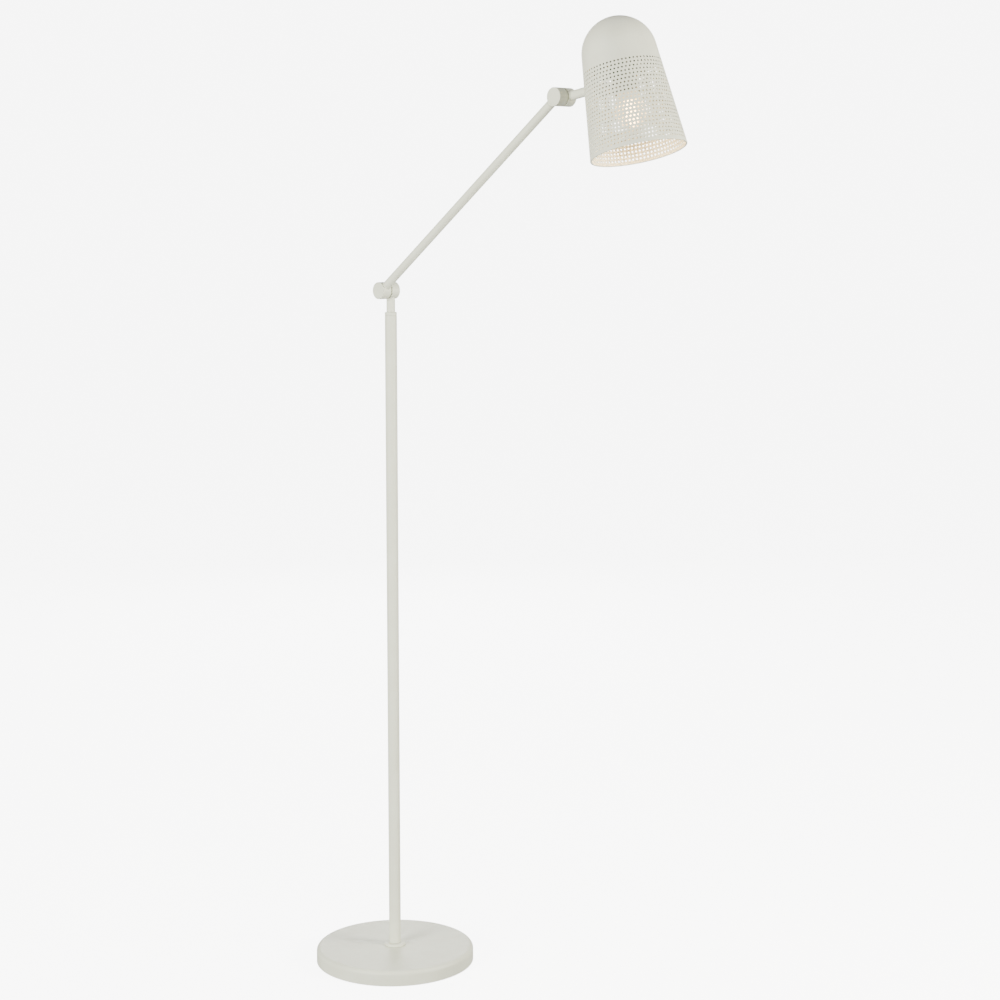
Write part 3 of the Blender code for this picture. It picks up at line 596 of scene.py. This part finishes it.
class FloorLampFinishes(bpy.types.PropertyGroup):
    """Colours of the paint and of the light."""

    coat: bpy.props.FloatVectorProperty(
        name="Coat", description="Colour of the powder coat",
        subtype="COLOR", size=3, min=0, max=1, default=colour("DBDDCA"),
    )
    coat_thin: bpy.props.FloatVectorProperty(
        name="Thin coat", description="Colour of the powder coat where its film is thin",
        subtype="COLOR", size=3, min=0, max=1, default=colour("D5D6C2"),
    )
    shade: bpy.props.FloatVectorProperty(
        name="Shade coat", description="Colour of the shade's powder coat",
        subtype="COLOR", size=3, min=0, max=1, default=colour("DADBC8"),
    )
    shade_thin: bpy.props.FloatVectorProperty(
        name="Thin shade coat", description="Colour of the shade's coat where its film is thin",
        subtype="COLOR", size=3, min=0, max=1, default=colour("D4D3C0"),
    )
    # Painted shade: the colour that the inside of the shade darkens to towards its top
    inner_painted_shade: bpy.props.FloatVectorProperty(
        name="Inner painted shade",
        description="Colour deep inside the shade, painted darker as shade",
        subtype="COLOR", size=3, min=0, max=1, default=colour("302B26"),
    )
    glow: bpy.props.FloatVectorProperty(
        name="Light", description="Colour of the lit bulb",
        subtype="COLOR", size=3, min=0, max=1, default=colour("FFCE8C"),
    )
    glow_strength: bpy.props.FloatProperty(
        name="Strength", description="Brightness of the column inside the lit bulb",
        default=34, min=0, max=200,
    )
    haze: bpy.props.FloatProperty(
        name="Haze", description="Brightness of the lit bulb's frosted globe",
        default=0.5, min=0, max=200,
    )


# Base and pole -----------------------------------------------------------------------------------
class BuildBase(bpy.types.Operator):
    """Pressed cover, foam pad, cord gland and foot flange"""

    bl_idname = "floor_lamp.base"
    bl_label = "Base"

    def execute(self, context):
        """A wide flat disc with a round shoulder, and the small turned pieces on it."""
        cover = [
            (5.3, 25.0, 0.2), (127.0, 25.0, 7.0), (127.0, 1.0, 0.3),
            (125.8, 1.0, 0.3), (125.8, 23.8, 5.8), (5.3, 23.8, 0.2),
        ]
        obj = new_object("base_cover", *turned(rounded(cover, 10), ON_POLE, 192))
        combine(obj, "DIFFERENCE", rod(5.0, 119, 131, ON_GLAND))
        dress(obj, "base", "base_cover", "powder_coat")

        pad = [(0, 2.5, 0), (125.0, 2.5, 0.8), (125.0, 0, 0.3), (0, 0, 0)]
        add_turned("base_pad", "base", "foam", ON_POLE, pad, 192)

        gland = [
            (3.2, 129.1, 0.4), (6.0, 129.1, 0.8), (6.0, 127.3, 0.2), (4.7, 127.3, 0),
            (4.7, 125.4, 0), (5.5, 125.2, 0.1), (4.7, 120.0, 0.2), (3.2, 120.0, 0.2),
        ]
        add_turned("cord_gland", "base", "gland_rubber", ON_GLAND, gland, 48)

        flange = [(5.3, 29.0, 0.1), (17.0, 29.0, 1.8), (17.0, 25.3, 0.2), (5.3, 25.3, 0.1)]
        add_turned("foot_flange", "base", "powder_coat", ON_POLE, flange, 96)
        return {"FINISHED"}


class BuildPole(bpy.types.Operator):
    """Straight tube with its turned collar"""

    bl_idname = "floor_lamp.pole"
    bl_label = "Pole"

    def execute(self, context):
        """Both are rings turned about the Z axis, with softened ends."""
        tube = [(9.5, 1045.5, 0.5), (9.5, 29.3, 0.5), (8.3, 29.3, 0.2), (8.3, 1045.5, 0.2)]
        add_turned("pole_tube", "base", "powder_coat", ON_POLE, tube)
        collar = [
            (9.5, 0, 0.9), (9.5, -4.7, 0.6), (8.1, -4.7, 0.1), (8.1, -22.7, 0.2),
            (6.6, -22.7, 0.2), (6.6, 0, 0.3),
        ]
        add_turned("pole_collar", "base", "powder_coat", ON_SWIVEL, collar)
        return {"FINISHED"}


# Knuckles and arm --------------------------------------------------------------------------------
KNUCKLE_DISC = [
    (13.3, 16.5, 0.5), (13.3, 0.9, 0.25), (11.3, 0.9, 0.1), (11.3, 0, 0.1), (5.3, 0, 0.2),
    (5.3, 3.5, 0.2), (9.5, 3.5, 0.4), (9.5, 15.3, 0.1), (11.4, 15.3, 0.1), (11.4, 16.5, 0.1),
]
KNUCKLE_CAP = [(0, 16.5, 0), (11.35, 16.5, 0.1), (11.35, 15.6, 0.1), (0, 15.6, 0)]
KNUCKLE_MIDDLE = 8.25 * MM
LEAD_BORE = 3.9
ARM_TUBE_START = 16.3


def add_knuckle(node, cap, body, pivot, front, way, boss):
    """Half a knuckle: a disc about Y joined to a boss that leaves it along way, with its cap."""
    out = -Y_AXIS if front else Y_AXIS
    face = pivot + Y_AXIS * JOINT_Y + out * HALF_GAP
    on_face = Place(face, out, Z_AXIS)
    centre = face + out * KNUCKLE_MIDDLE if front else pivot
    on_boss = Place(centre, way, Y_AXIS)
    obj = new_object(node, *turned(rounded(KNUCKLE_DISC), on_face, 96))
    neck = new_object("cutter", *turned(rounded(boss), on_boss, 72))
    combine(obj, "UNION", neck)
    combine(obj, "DIFFERENCE", rod(LEAD_BORE, 7.5, 60, on_boss))
    dress(obj, body, node, "powder_coat")
    add_turned(cap, body, "powder_coat", on_face, KNUCKLE_CAP, 96)


class BuildSwivel(bpy.types.Operator):
    """Stem that turns in the collar, with the rear half of the lower knuckle"""

    bl_idname = "floor_lamp.swivel"
    bl_label = "Swivel"

    def execute(self, context):
        """A stepped turned stem, and a disc with a boss that points down."""
        stem = [
            (4.8, 23.0, 0.2), (4.8, 18.7, 0), (6.75, 18.7, 0.2), (6.75, 0.3, 0.4),
            (5.0, 0.3, 0), (5.0, -30.5, 0.2), (3.4, -30.5, 0.2), (3.4, 23.0, 0.2),
        ]
        add_turned("swivel_stem", "swivel", "powder_coat", ON_SWIVEL, stem)
        boss = [(0, 11.0, 0), (6.75, 11.0, 0), (6.75, 15.0, 0.2), (0, 15.0, 0)]
        add_knuckle(
            "swivel_knuckle", "swivel_knuckle_cap", "swivel", LOWER_PIVOT, False, -Z_AXIS, boss
        )
        seat = rod(5.1, 10.2, 16, Place(LOWER_PIVOT, -Z_AXIS, Y_AXIS))
        combine(bpy.data.objects["swivel_knuckle_fine"], "DIFFERENCE", seat)
        return {"FINISHED"}


class BuildArm(bpy.types.Operator):
    """Arm tube between the front halves of the two knuckles"""

    bl_idname = "floor_lamp.arm"
    bl_label = "Arm"

    def execute(self, context):
        """A straight tube along the arm's own axis, with a spigot of each knuckle inside it."""
        boss = [
            (0, 11.0, 0), (6.5, 11.0, 0), (6.5, 16.0, 0.15),
            (5.2, 16.0, 0), (5.2, 32.0, 0.3), (0, 32.0, 0),
        ]
        add_knuckle(
            "arm_knuckle_lower", "arm_knuckle_cap_lower", "arm", LOWER_PIVOT, True, ARM_WAY, boss
        )
        add_knuckle(
            "arm_knuckle_upper", "arm_knuckle_cap_upper", "arm", UPPER_PIVOT, True, -ARM_WAY, boss
        )
        length = np.linalg.norm(UPPER_PIVOT - LOWER_PIVOT) / MM
        start, end = ARM_TUBE_START, length - ARM_TUBE_START
        tube = [(6.5, end, 0.15), (6.5, start, 0.15), (5.5, start, 0.15), (5.5, end, 0.15)]
        middle_line = LOWER_PIVOT + Y_AXIS * (JOINT_Y - HALF_GAP - KNUCKLE_MIDDLE)
        add_turned("arm_tube", "arm", "powder_coat", Place(middle_line, ARM_WAY, Y_AXIS), tube)
        return {"FINISHED"}


class BuildStem(bpy.types.Operator):
    """Rear half of the upper knuckle and the stem that carries the shade"""

    bl_idname = "floor_lamp.stem"
    bl_label = "Stem"

    def execute(self, context):
        """A disc with a boss along the stem, and the stepped stem itself."""
        boss = [
            (0, 11.0, 0), (6.75, 11.0, 0), (6.75, 15.0, 0.2),
            (5.0, 15.0, 0), (5.0, 27.0, 0.3), (0, 27.0, 0),
        ]
        add_knuckle("head_knuckle", "head_knuckle_cap", "head", UPPER_PIVOT, False, STEM_WAY, boss)
        stem = [
            (5.0, 67.0, 0.2), (5.0, 57.3, 0), (6.75, 57.3, 0.2), (6.75, 15.3, 0.2),
            (5.3, 15.3, 0.1), (5.3, 50.0, 0), (3.4, 50.0, 0), (3.4, 67.0, 0.2),
        ]
        add_turned("head_stem", "head", "powder_coat", ON_STEM, stem)
        return {"FINISHED"}


# Shade -------------------------------------------------------------------------------------------
MOUTH_RADIUS = 68.4 * MM
DOME_RADIUS = 52.8 * MM
DOME_CENTRE = 141.7 * MM
SHADE_WALL = 1.0 * MM
SLOPE = math.acos(DOME_RADIUS / math.hypot(MOUTH_RADIUS, DOME_CENTRE)) - math.atan2(
    DOME_CENTRE, MOUTH_RADIUS
)
CELL_HEIGHT = 4.9 * MM
STEM_CLEARANCE = 8.6 * MM
# Levels up the shade over which its inside darkens to the painted shade colour
PAINTED_SHADE_FROM = 98 * MM
PAINTED_SHADE_TO = 118 * MM


def on_wall(angle, height, depth=0.0):
    """Points on the shade's tapered wall, depth under its outer skin.

    The radius is the mouth's less height times the tangent of the slope.
    """
    radius = MOUTH_RADIUS - height * math.tan(SLOPE) - depth / math.cos(SLOPE)
    parts = np.broadcast_arrays(radius * np.cos(angle), radius * np.sin(angle), height)
    return np.stack(parts, -1).reshape(-1, 3)


def zip_rings(low, high):
    """Triangles between two rings that have different numbers of points.

    Both rings are walked together from the seam. Each triangle takes the next point of the ring
    that is further behind, so their corners come in the order of their share of the turn.
    """
    steps = np.concatenate(
        [np.arange(1, len(low) + 1) / len(low), np.arange(1, len(high) + 1) / len(high)]
    )
    order = np.argsort(steps, kind="stable")
    from_low = order < len(low)
    done_low = np.cumsum(from_low) - from_low
    done_high = np.cumsum(~from_low) - ~from_low
    here, above = low[done_low % len(low)], high[done_high % len(high)]
    tip = np.where(from_low, low[(done_low + 1) % len(low)], high[(done_high + 1) % len(high)])
    return np.stack([here, tip, above], -1)


# The turns of a hole's rim points about its centre, from the lower left one
CELL_TURN = np.radians(-135 + 360 / RIM_POINTS * np.arange(RIM_POINTS))


def hole_row(level, sizes, first):
    """One row of the wall's cells, each with a round hole, as points, faces and its two edge rings.

    A cell is a rectangle of the wall whose edge has twelve points. A hole's rim has twelve points
    at equal turns about its centre, and quads join each to the edge's point on its own side. The
    row is made on the outer skin, then again on the inner one, and the rims are joined. Where the
    stem meets the wall the cells are closed.
    """
    radius = MOUTH_RADIUS - level * math.tan(SLOPE)
    count = round(2 * math.pi * radius / sizes.hole_pitch)
    step = 2 * math.pi / count
    centre = math.pi + step * np.arange(count)
    thirds = math.pi + step * (np.arange(3 * count) / 3 - 0.5)
    bottom, top = level - CELL_HEIGHT / 2, level + CELL_HEIGHT / 2
    sides = np.array([-1, 1]) * CELL_HEIGHT / 6
    reach = sizes.hole_diameter / 2
    rim_turn = centre[:, None] + reach * np.cos(CELL_TURN) / radius
    rim_level = level + reach * np.sin(CELL_TURN)
    skin = []
    for depth in (0.0, SHADE_WALL):
        skin += [
            on_wall(thirds, bottom, depth),
            on_wall(thirds, top, depth),
            on_wall(centre[:, None] - step / 2, level + sides, depth),
            on_wall(rim_turn, rim_level, depth),
        ]
    per_skin = (3 + 3 + 2 + RIM_POINTS) * count

    j = np.arange(count)
    after = (j + 1) % count
    side = 6 * count
    edge = np.stack(
        [
            3 * j, 3 * j + 1, 3 * j + 2, 3 * after,
            side + 2 * after, side + 2 * after + 1,
            3 * (count + after), 3 * (count + j) + 2, 3 * (count + j) + 1, 3 * (count + j),
            side + 2 * j + 1, side + 2 * j,
        ],
        -1,
    )
    rim = 8 * count + RIM_POINTS * j[:, None] + np.arange(RIM_POINTS)
    outer = np.stack([edge, np.roll(edge, -1, 1), np.roll(rim, -1, 1), rim], -1).reshape(-1, 4)
    inner = outer[:, ::-1] + per_skin

    middle_point = ON_SHADE.put(on_wall(centre, level))
    away = middle_point - UPPER_PIVOT
    away -= (away @ STEM_WAY)[:, None] * STEM_WAY
    shut = (np.linalg.norm(away, axis=1) < STEM_CLEARANCE) & (np.cos(centre) < 0)
    wall = np.stack(
        [rim, np.roll(rim, -1, 1), np.roll(rim, -1, 1) + per_skin, rim + per_skin], -1
    )[~shut].reshape(-1, 4)
    lids = np.concatenate([rim[shut], rim[shut][:, ::-1] + per_skin])

    points = np.concatenate(skin)
    faces = [outer + first, inner + first, wall + first, lids + first]
    ring = first + np.arange(3 * count)
    rings = [ring, ring + 3 * count, ring + per_skin, ring + 3 * count + per_skin]
    return points, faces, rings


def bead_section(thickness, height):
    """The rolled edge's outline, from the outer skin at height, under the edge and up inside.

    It is most of a circle that touches the outer skin and the mouth, as (level, depth).
    """
    reach = thickness / 2
    leave = math.acos((SHADE_WALL + 0.1 * MM - reach) / reach)
    turn = np.linspace(math.pi, 2 * math.pi + leave, 22)
    level, depth = reach + reach * np.sin(turn), reach + reach * np.cos(turn)
    down = np.linspace(height, level[0], 4)[1:-1]
    up = np.linspace(level[-1] + 0.25 * MM, height, 3)[:-1]
    return (
        np.concatenate([down, level, up]),
        np.concatenate([0 * down, depth, 0 * up + SHADE_WALL]),
    )


def dome_section(depth, start):
    """The radius and level of the round top, from just above the wall's holes to its pole."""
    level = np.linspace(start, DOME_CENTRE + DOME_RADIUS * math.sin(SLOPE), 6)[1:]
    radius = MOUTH_RADIUS - level * math.tan(SLOPE) - depth / math.cos(SLOPE)
    turn = np.linspace(SLOPE, math.pi / 2, 30)[1:-1]
    reach = DOME_RADIUS - depth
    return (
        np.concatenate([radius, reach * np.cos(turn)]),
        np.concatenate([level, DOME_CENTRE + reach * np.sin(turn)]),
    )


def shade_surface(sizes):
    """The whole shade as one closed surface: rolled edge, perforated wall and round top."""
    points, faces, seams, used = [], [], [], 0
    for row in range(sizes.row_count):
        made, row_faces, rings = hole_row(sizes.first_row + row * sizes.row_spacing, sizes, used)
        points.append(made)
        faces += row_faces
        if seams:
            faces.append(zip_rings(seams[-1][1], rings[0]))
            faces.append(zip_rings(seams[-1][3], rings[2])[:, ::-1])
        seams.append(rings)
        used += len(made)

    start = math.pi - math.pi * 3 / len(seams[0][0])
    angle = start + 2 * math.pi * np.arange(len(seams[0][0])) / len(seams[0][0])
    level, depth = bead_section(sizes.bead, sizes.first_row - CELL_HEIGHT / 2)
    points.append(on_wall(angle, level[:, None], depth[:, None]))
    order = np.concatenate(
        [seams[0][0], used + np.arange(len(level) * len(angle)), seams[0][2]]
    )
    faces.append(order[strip(len(level) + 2, len(angle), False)][:, ::-1])
    used += len(level) * len(angle)

    count = len(seams[-1][1])
    angle = math.pi + 2 * math.pi * (np.arange(count) - 1.5) / count
    top = sizes.first_row + (sizes.row_count - 1) * sizes.row_spacing + CELL_HEIGHT / 2
    for depth, ring, flip in ((0.0, seams[-1][1], 1), (SHADE_WALL, seams[-1][3], -1)):
        radius, level = dome_section(depth, top)
        across, rise = radius[:, None], level[:, None]
        grid = [across * np.cos(angle), across * np.sin(angle), rise + 0 * angle]
        points.append(np.stack(grid, -1).reshape(-1, 3))
        points.append(np.array([[0, 0, DOME_CENTRE + DOME_RADIUS - depth]]))
        order = np.concatenate([ring, used + np.arange(len(radius) * count)])
        faces.append(order[strip(len(radius) + 1, count, False)][:, ::flip])
        last = order[-count:]
        pole = used + len(radius) * count
        fan = np.stack([last, np.roll(last, -1), 0 * last + pole], -1)
        faces.append(fan[:, ::flip])
        used = pole + 1
    lists = [face for block in faces for face in block.tolist()]
    return ON_SHADE.put(np.concatenate(points)), lists


def mark_painted_shade(obj):
    """An attribute that rises from 0 to 1 up the inside of the shade, and is 0 outside.

    A point is inside where it lies more than half the wall's thickness under the outer skin, which
    is a cone up to the dome's centre and a sphere above it. The attribute masks the painted shade
    that darkens the top of the shade's inside.
    """
    points = np.empty(len(obj.data.vertices) * 3)
    obj.data.vertices.foreach_get("co", points)
    local = points.reshape(-1, 3) - ON_SHADE.origin
    level = local @ ON_SHADE.along
    radius = np.linalg.norm(local - level[:, None] * ON_SHADE.along, axis=1)
    in_wall = (MOUTH_RADIUS - level * math.tan(SLOPE) - radius) * math.cos(SLOPE)
    in_dome = DOME_RADIUS - np.hypot(radius, level - DOME_CENTRE)
    under = np.where(level > DOME_CENTRE, in_dome, in_wall) > SHADE_WALL / 2
    rise = np.clip((level - PAINTED_SHADE_FROM) / (PAINTED_SHADE_TO - PAINTED_SHADE_FROM), 0, 1)
    attribute = obj.data.attributes.new(PAINTED_SHADE_ATTRIBUTE, "FLOAT", "POINT")
    attribute.data.foreach_set("value", under * rise)


class BuildShade(bpy.types.Operator):
    """Perforated shade with a rolled edge and a plain round top"""

    bl_idname = "floor_lamp.shade"
    bl_label = "Shade"

    def execute(self, context):
        """One closed surface, worked out row by row."""
        obj = new_object("shade", *shade_surface(context.scene.floor_lamp_sizes))
        # Mask for the painted shade inside the top of the shade
        mark_painted_shade(obj)
        dress(obj, "head", "shade", "shade_coat", crease=40)
        return {"FINISHED"}


# Bulb and socket ---------------------------------------------------------------------------------
def add_area(name, place, target, size, power, tint):
    """A soft round light that faces a target."""
    data = bpy.data.lights.new(name, "AREA")
    data.shape = "DISK"
    data.size = size
    data.energy = power
    data.color = tint
    light = bpy.data.objects.new(name, data)
    bpy.context.scene.collection.objects.link(light)
    light.location = place
    light.rotation_euler = (Vector(target) - Vector(place)).to_track_quat("-Z", "Y").to_euler()
    return light


# The hidden light under the bulb, which warms the inside of the shade
BEAM_LEVEL = 33.5 * MM
BEAM_SIZE = 30 * MM
BEAM_POWER = 0.26


class BuildLight(bpy.types.Operator):
    """Lit bulb and the socket that holds it"""

    bl_idname = "floor_lamp.light"
    bl_label = "Bulb and socket"

    def execute(self, context):
        """The globe is two spheres cut at the body. The others are turned from their corners."""
        cut, centre = 12 * MM, 59 * MM
        outer, inner = 23 * MM, 21.8 * MM
        out_turn = np.linspace(-math.pi / 2, math.asin(cut / outer), 24)
        in_turn = np.linspace(math.asin(cut / inner), -math.pi / 2, 20)
        line = np.concatenate(
            [
                np.stack([outer * np.cos(out_turn), centre + outer * np.sin(out_turn)], -1),
                np.stack([inner * np.cos(in_turn), centre + inner * np.sin(in_turn)], -1),
            ]
        )
        globe = new_object("bulb_globe", *turned(line, ON_SHADE, 64))
        dress(globe, "head", "bulb_globe", "bulb_diffuser")

        column = [
            (0, 75.0, 0), (6.0, 75.0, 1.0), (10.0, 55.0, 12.0), (6.5, 38.5, 6.0), (0, 38.5, 0),
        ]
        core = new_object("bulb_core", *turned(rounded(column), ON_SHADE, 32))
        core.data.materials.append(finish("light_column"))
        core.data.shade_smooth()
        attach(core, "head")

        under, mouth = ON_SHADE.put(np.array([[0, 0, BEAM_LEVEL], [0, 0, 0]]))
        glow = context.scene.floor_lamp_finishes.glow
        beam = add_area("bulb_light", tuple(under), tuple(mouth), BEAM_SIZE, BEAM_POWER, glow)
        beam.visible_camera = False
        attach(beam, "head")

        body = [
            (0, 89.7, 0), (13.1, 89.7, 0.6), (19.0, 75.0, 6.0), (19.6, 71.3, 0.3),
            (18.2, 71.3, 0.2), (18.2, 76.0, 0.2), (0, 76.0, 0),
        ]
        add_turned("bulb_body", "head", "bulb_body", ON_SHADE, body)
        shell = [(19.0, 127.7, 0.3), (19.0, 86.0, 0.8), (15.4, 86.0, 0.6), (15.4, 127.7, 0.2)]
        add_turned("socket_shell", "head", "phenolic", ON_SHADE, shell)
        cap = [
            (5.3, 148.7, 0.2), (15.0, 148.7, 1.5), (19.0, 143.7, 1.5), (19.0, 128.0, 0.3),
            (16.5, 128.0, 0.2), (16.5, 142.7, 0.5), (14.0, 146.2, 0.5), (5.3, 146.2, 0.2),
        ]
        obj = new_object("socket_cap", *turned(rounded(cap), ON_SHADE, 64))
        beside = ON_SHADE.put(np.array([0, 0, 137 * MM]))
        hole = rod(2.3, 12, 24, Place(beside, -ON_SHADE.across, Y_AXIS))
        combine(obj, "DIFFERENCE", hole)
        dress(obj, "head", "socket_cap", "phenolic")
        return {"FINISHED"}


# Carried-over frame nodes ------------------------------------------------------------------------
KEPT_NODES = {
    "cast_iron": ["base_weight"],
    "zinc_plate": [
        "threaded_nipple", "base_nut", "base_washer", "pole_foot_insert", "swivel_washer",
        "swivel_nut", "lower_pivot_bolt", "lower_pivot_nut", "upper_pivot_bolt",
        "upper_pivot_nut", "head_stem_washer", "head_stem_nut", "socket_bracket",
        "socket_nipple", "socket_nut",
    ],
    "nylon": ["swivel_bush"],
    "fibre": ["lower_friction_washer", "upper_friction_washer"],
    "lead_sheath": ["pole_lead", "stem_lead", "arm_lead", "head_lead"],
    "ceramic": ["socket_insulator", "bulb_board"],
    "brass": ["screw_shell", "centre_contact"],
    "bulb_cap": ["bulb_cap"],
}


class FinishFixings(bpy.types.Operator):
    """Materials of the fixings, leads and contacts"""

    bl_idname = "floor_lamp.fixings"
    bl_label = "Fixings"

    def execute(self, context):
        """Each keeps its own shape and takes the material of its slot."""
        for slot, names in KEPT_NODES.items():
            for name in names:
                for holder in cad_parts[name].material_slots:
                    holder.material = finish(slot)
        return {"FINISHED"}


# Stage -------------------------------------------------------------------------------------------
STAGE_REACH = 40.0
FLOOR_GLOW = 7.1
BACKDROP_GLOW = 7.6
SKY_STRENGTH = 0.52
LIT_POINT = (0.1, 0, 1.1)

# Each light's name, place, size in metres, power in watts and tint
LIGHTS = (
    ("key", (0.4, -3.4, 1.1), 1.6, 265, "FFFFF6"),
    ("fill", (2.5, 1.2, 1.4), 1.2, 155, "FFFDF0"),
    ("top", (-0.6, 0.8, 5.0), 2.4, 30, "FFFFFF"),
    ("back", (-2.8, 2.4, 1.8), 1.6, 80, "FFFFFF"),
)

CAMERA_PLACE = (2.5086, -2.1836, 1.1949)
CAMERA_DIP = 6.9
CAMERA_TURN = 45.723
CAMERA_LENS = 76.099
CAMERA_SHIFT = (-0.0107, -0.0249)


class BuildStage(bpy.types.Operator):
    """Pale floor, soft lights and the camera"""

    bl_idname = "floor_lamp.stage"
    bl_label = "Stage"

    def execute(self, context):
        """A wide round floor and a pale backdrop under an even sky, with four soft lights.

        The floor is a lit acrylic table, so it shines a little itself. The backdrop is a sphere.
        Both only show behind the lamp, and cast no light on it.
        """
        scene = context.scene
        disc = np.array([(0, 0), (STAGE_REACH, 0), (0, -MM)])
        floor = new_object("floor", *turned(disc, ON_POLE, 128))
        floor.data.materials.append(grained(
            "lit_acrylic_floor",
            {"Roughness": 0.85, "Emission Color": (1, 1, 1, 1), "Emission Strength": FLOOR_GLOW},
            tint=between(Grain(400), "F4F4F3", "EFEFEE"),
        ))

        turn = np.linspace(-math.pi / 2, math.pi / 2, 49)
        arch = np.stack([np.cos(turn), np.sin(turn)], -1) * STAGE_REACH
        arch[[0, -1], 0] = 0
        backdrop = new_object("backdrop", *turned(arch, ON_POLE, 96))
        backdrop.data.materials.append(grained("backdrop", {
            "Base Color": (0, 0, 0, 1), "Specular IOR Level": 0.0,
            "Emission Color": (1, 1, 1, 1), "Emission Strength": BACKDROP_GLOW,
        }))
        for part in (floor, backdrop):
            part.visible_diffuse = False
            part.visible_glossy = False
            part.visible_transmission = False
            part.visible_shadow = False

        world = bpy.data.worlds.new("studio")
        world.use_nodes = True
        sky = world.node_tree.nodes["Background"]
        sky.inputs["Color"].default_value = (1, 1, 1, 1)
        sky.inputs["Strength"].default_value = SKY_STRENGTH
        scene.world = world

        for name, place, size, power, tint in LIGHTS:
            light = add_area(name, place, LIT_POINT, size, power, colour(tint))
            light.visible_camera = False

        data = bpy.data.cameras.new("camera")
        data.lens = CAMERA_LENS
        data.shift_x, data.shift_y = CAMERA_SHIFT
        data.clip_end = 100
        camera = bpy.data.objects.new("camera", data)
        camera.location = CAMERA_PLACE
        camera.rotation_euler = (math.radians(90 - CAMERA_DIP), 0, math.radians(CAMERA_TURN))
        scene.collection.objects.link(camera)
        scene.camera = camera
        return {"FINISHED"}


# Panel and registration --------------------------------------------------------------------------
OPERATORS = (
    BuildBase, BuildPole, BuildSwivel, BuildArm, BuildStem, BuildShade, BuildLight, FinishFixings,
    BuildStage,
)


class FloorLampPanel(bpy.types.Panel):
    """Sidebar panel with the lamp's sizes, colours and steps"""

    bl_idname = "VIEW3D_PT_floor_lamp"
    bl_label = "Floor lamp"
    bl_space_type = "VIEW_3D"
    bl_region_type = "UI"
    bl_category = "Floor lamp"

    def draw(self, context):
        """List every setting, then every step."""
        layout = self.layout
        for group in (context.scene.floor_lamp_sizes, context.scene.floor_lamp_finishes):
            box = layout.box()
            for name in group.__annotations__:
                box.prop(group, name)
        for step in OPERATORS:
            layout.operator(step.bl_idname)


CLASSES = (FloorLampSizes, FloorLampFinishes, *OPERATORS, FloorLampPanel)


def register():
    """Add the classes, and the settings to the scene."""
    for item in CLASSES:
        bpy.utils.register_class(item)
    bpy.types.Scene.floor_lamp_sizes = bpy.props.PointerProperty(type=FloorLampSizes)
    bpy.types.Scene.floor_lamp_finishes = bpy.props.PointerProperty(type=FloorLampFinishes)


def unregister():
    """Take them away again."""
    del bpy.types.Scene.floor_lamp_finishes
    del bpy.types.Scene.floor_lamp_sizes
    for item in reversed(CLASSES):
        bpy.utils.unregister_class(item)


def main():
    """Build every piece in order."""
    register()
    for step in (
        bpy.ops.floor_lamp.base, bpy.ops.floor_lamp.pole, bpy.ops.floor_lamp.swivel,
        bpy.ops.floor_lamp.arm, bpy.ops.floor_lamp.stem, bpy.ops.floor_lamp.shade,
        bpy.ops.floor_lamp.light, bpy.ops.floor_lamp.fixings, bpy.ops.floor_lamp.stage,
    ):
        step()


if __name__ == "__main__":
    main()
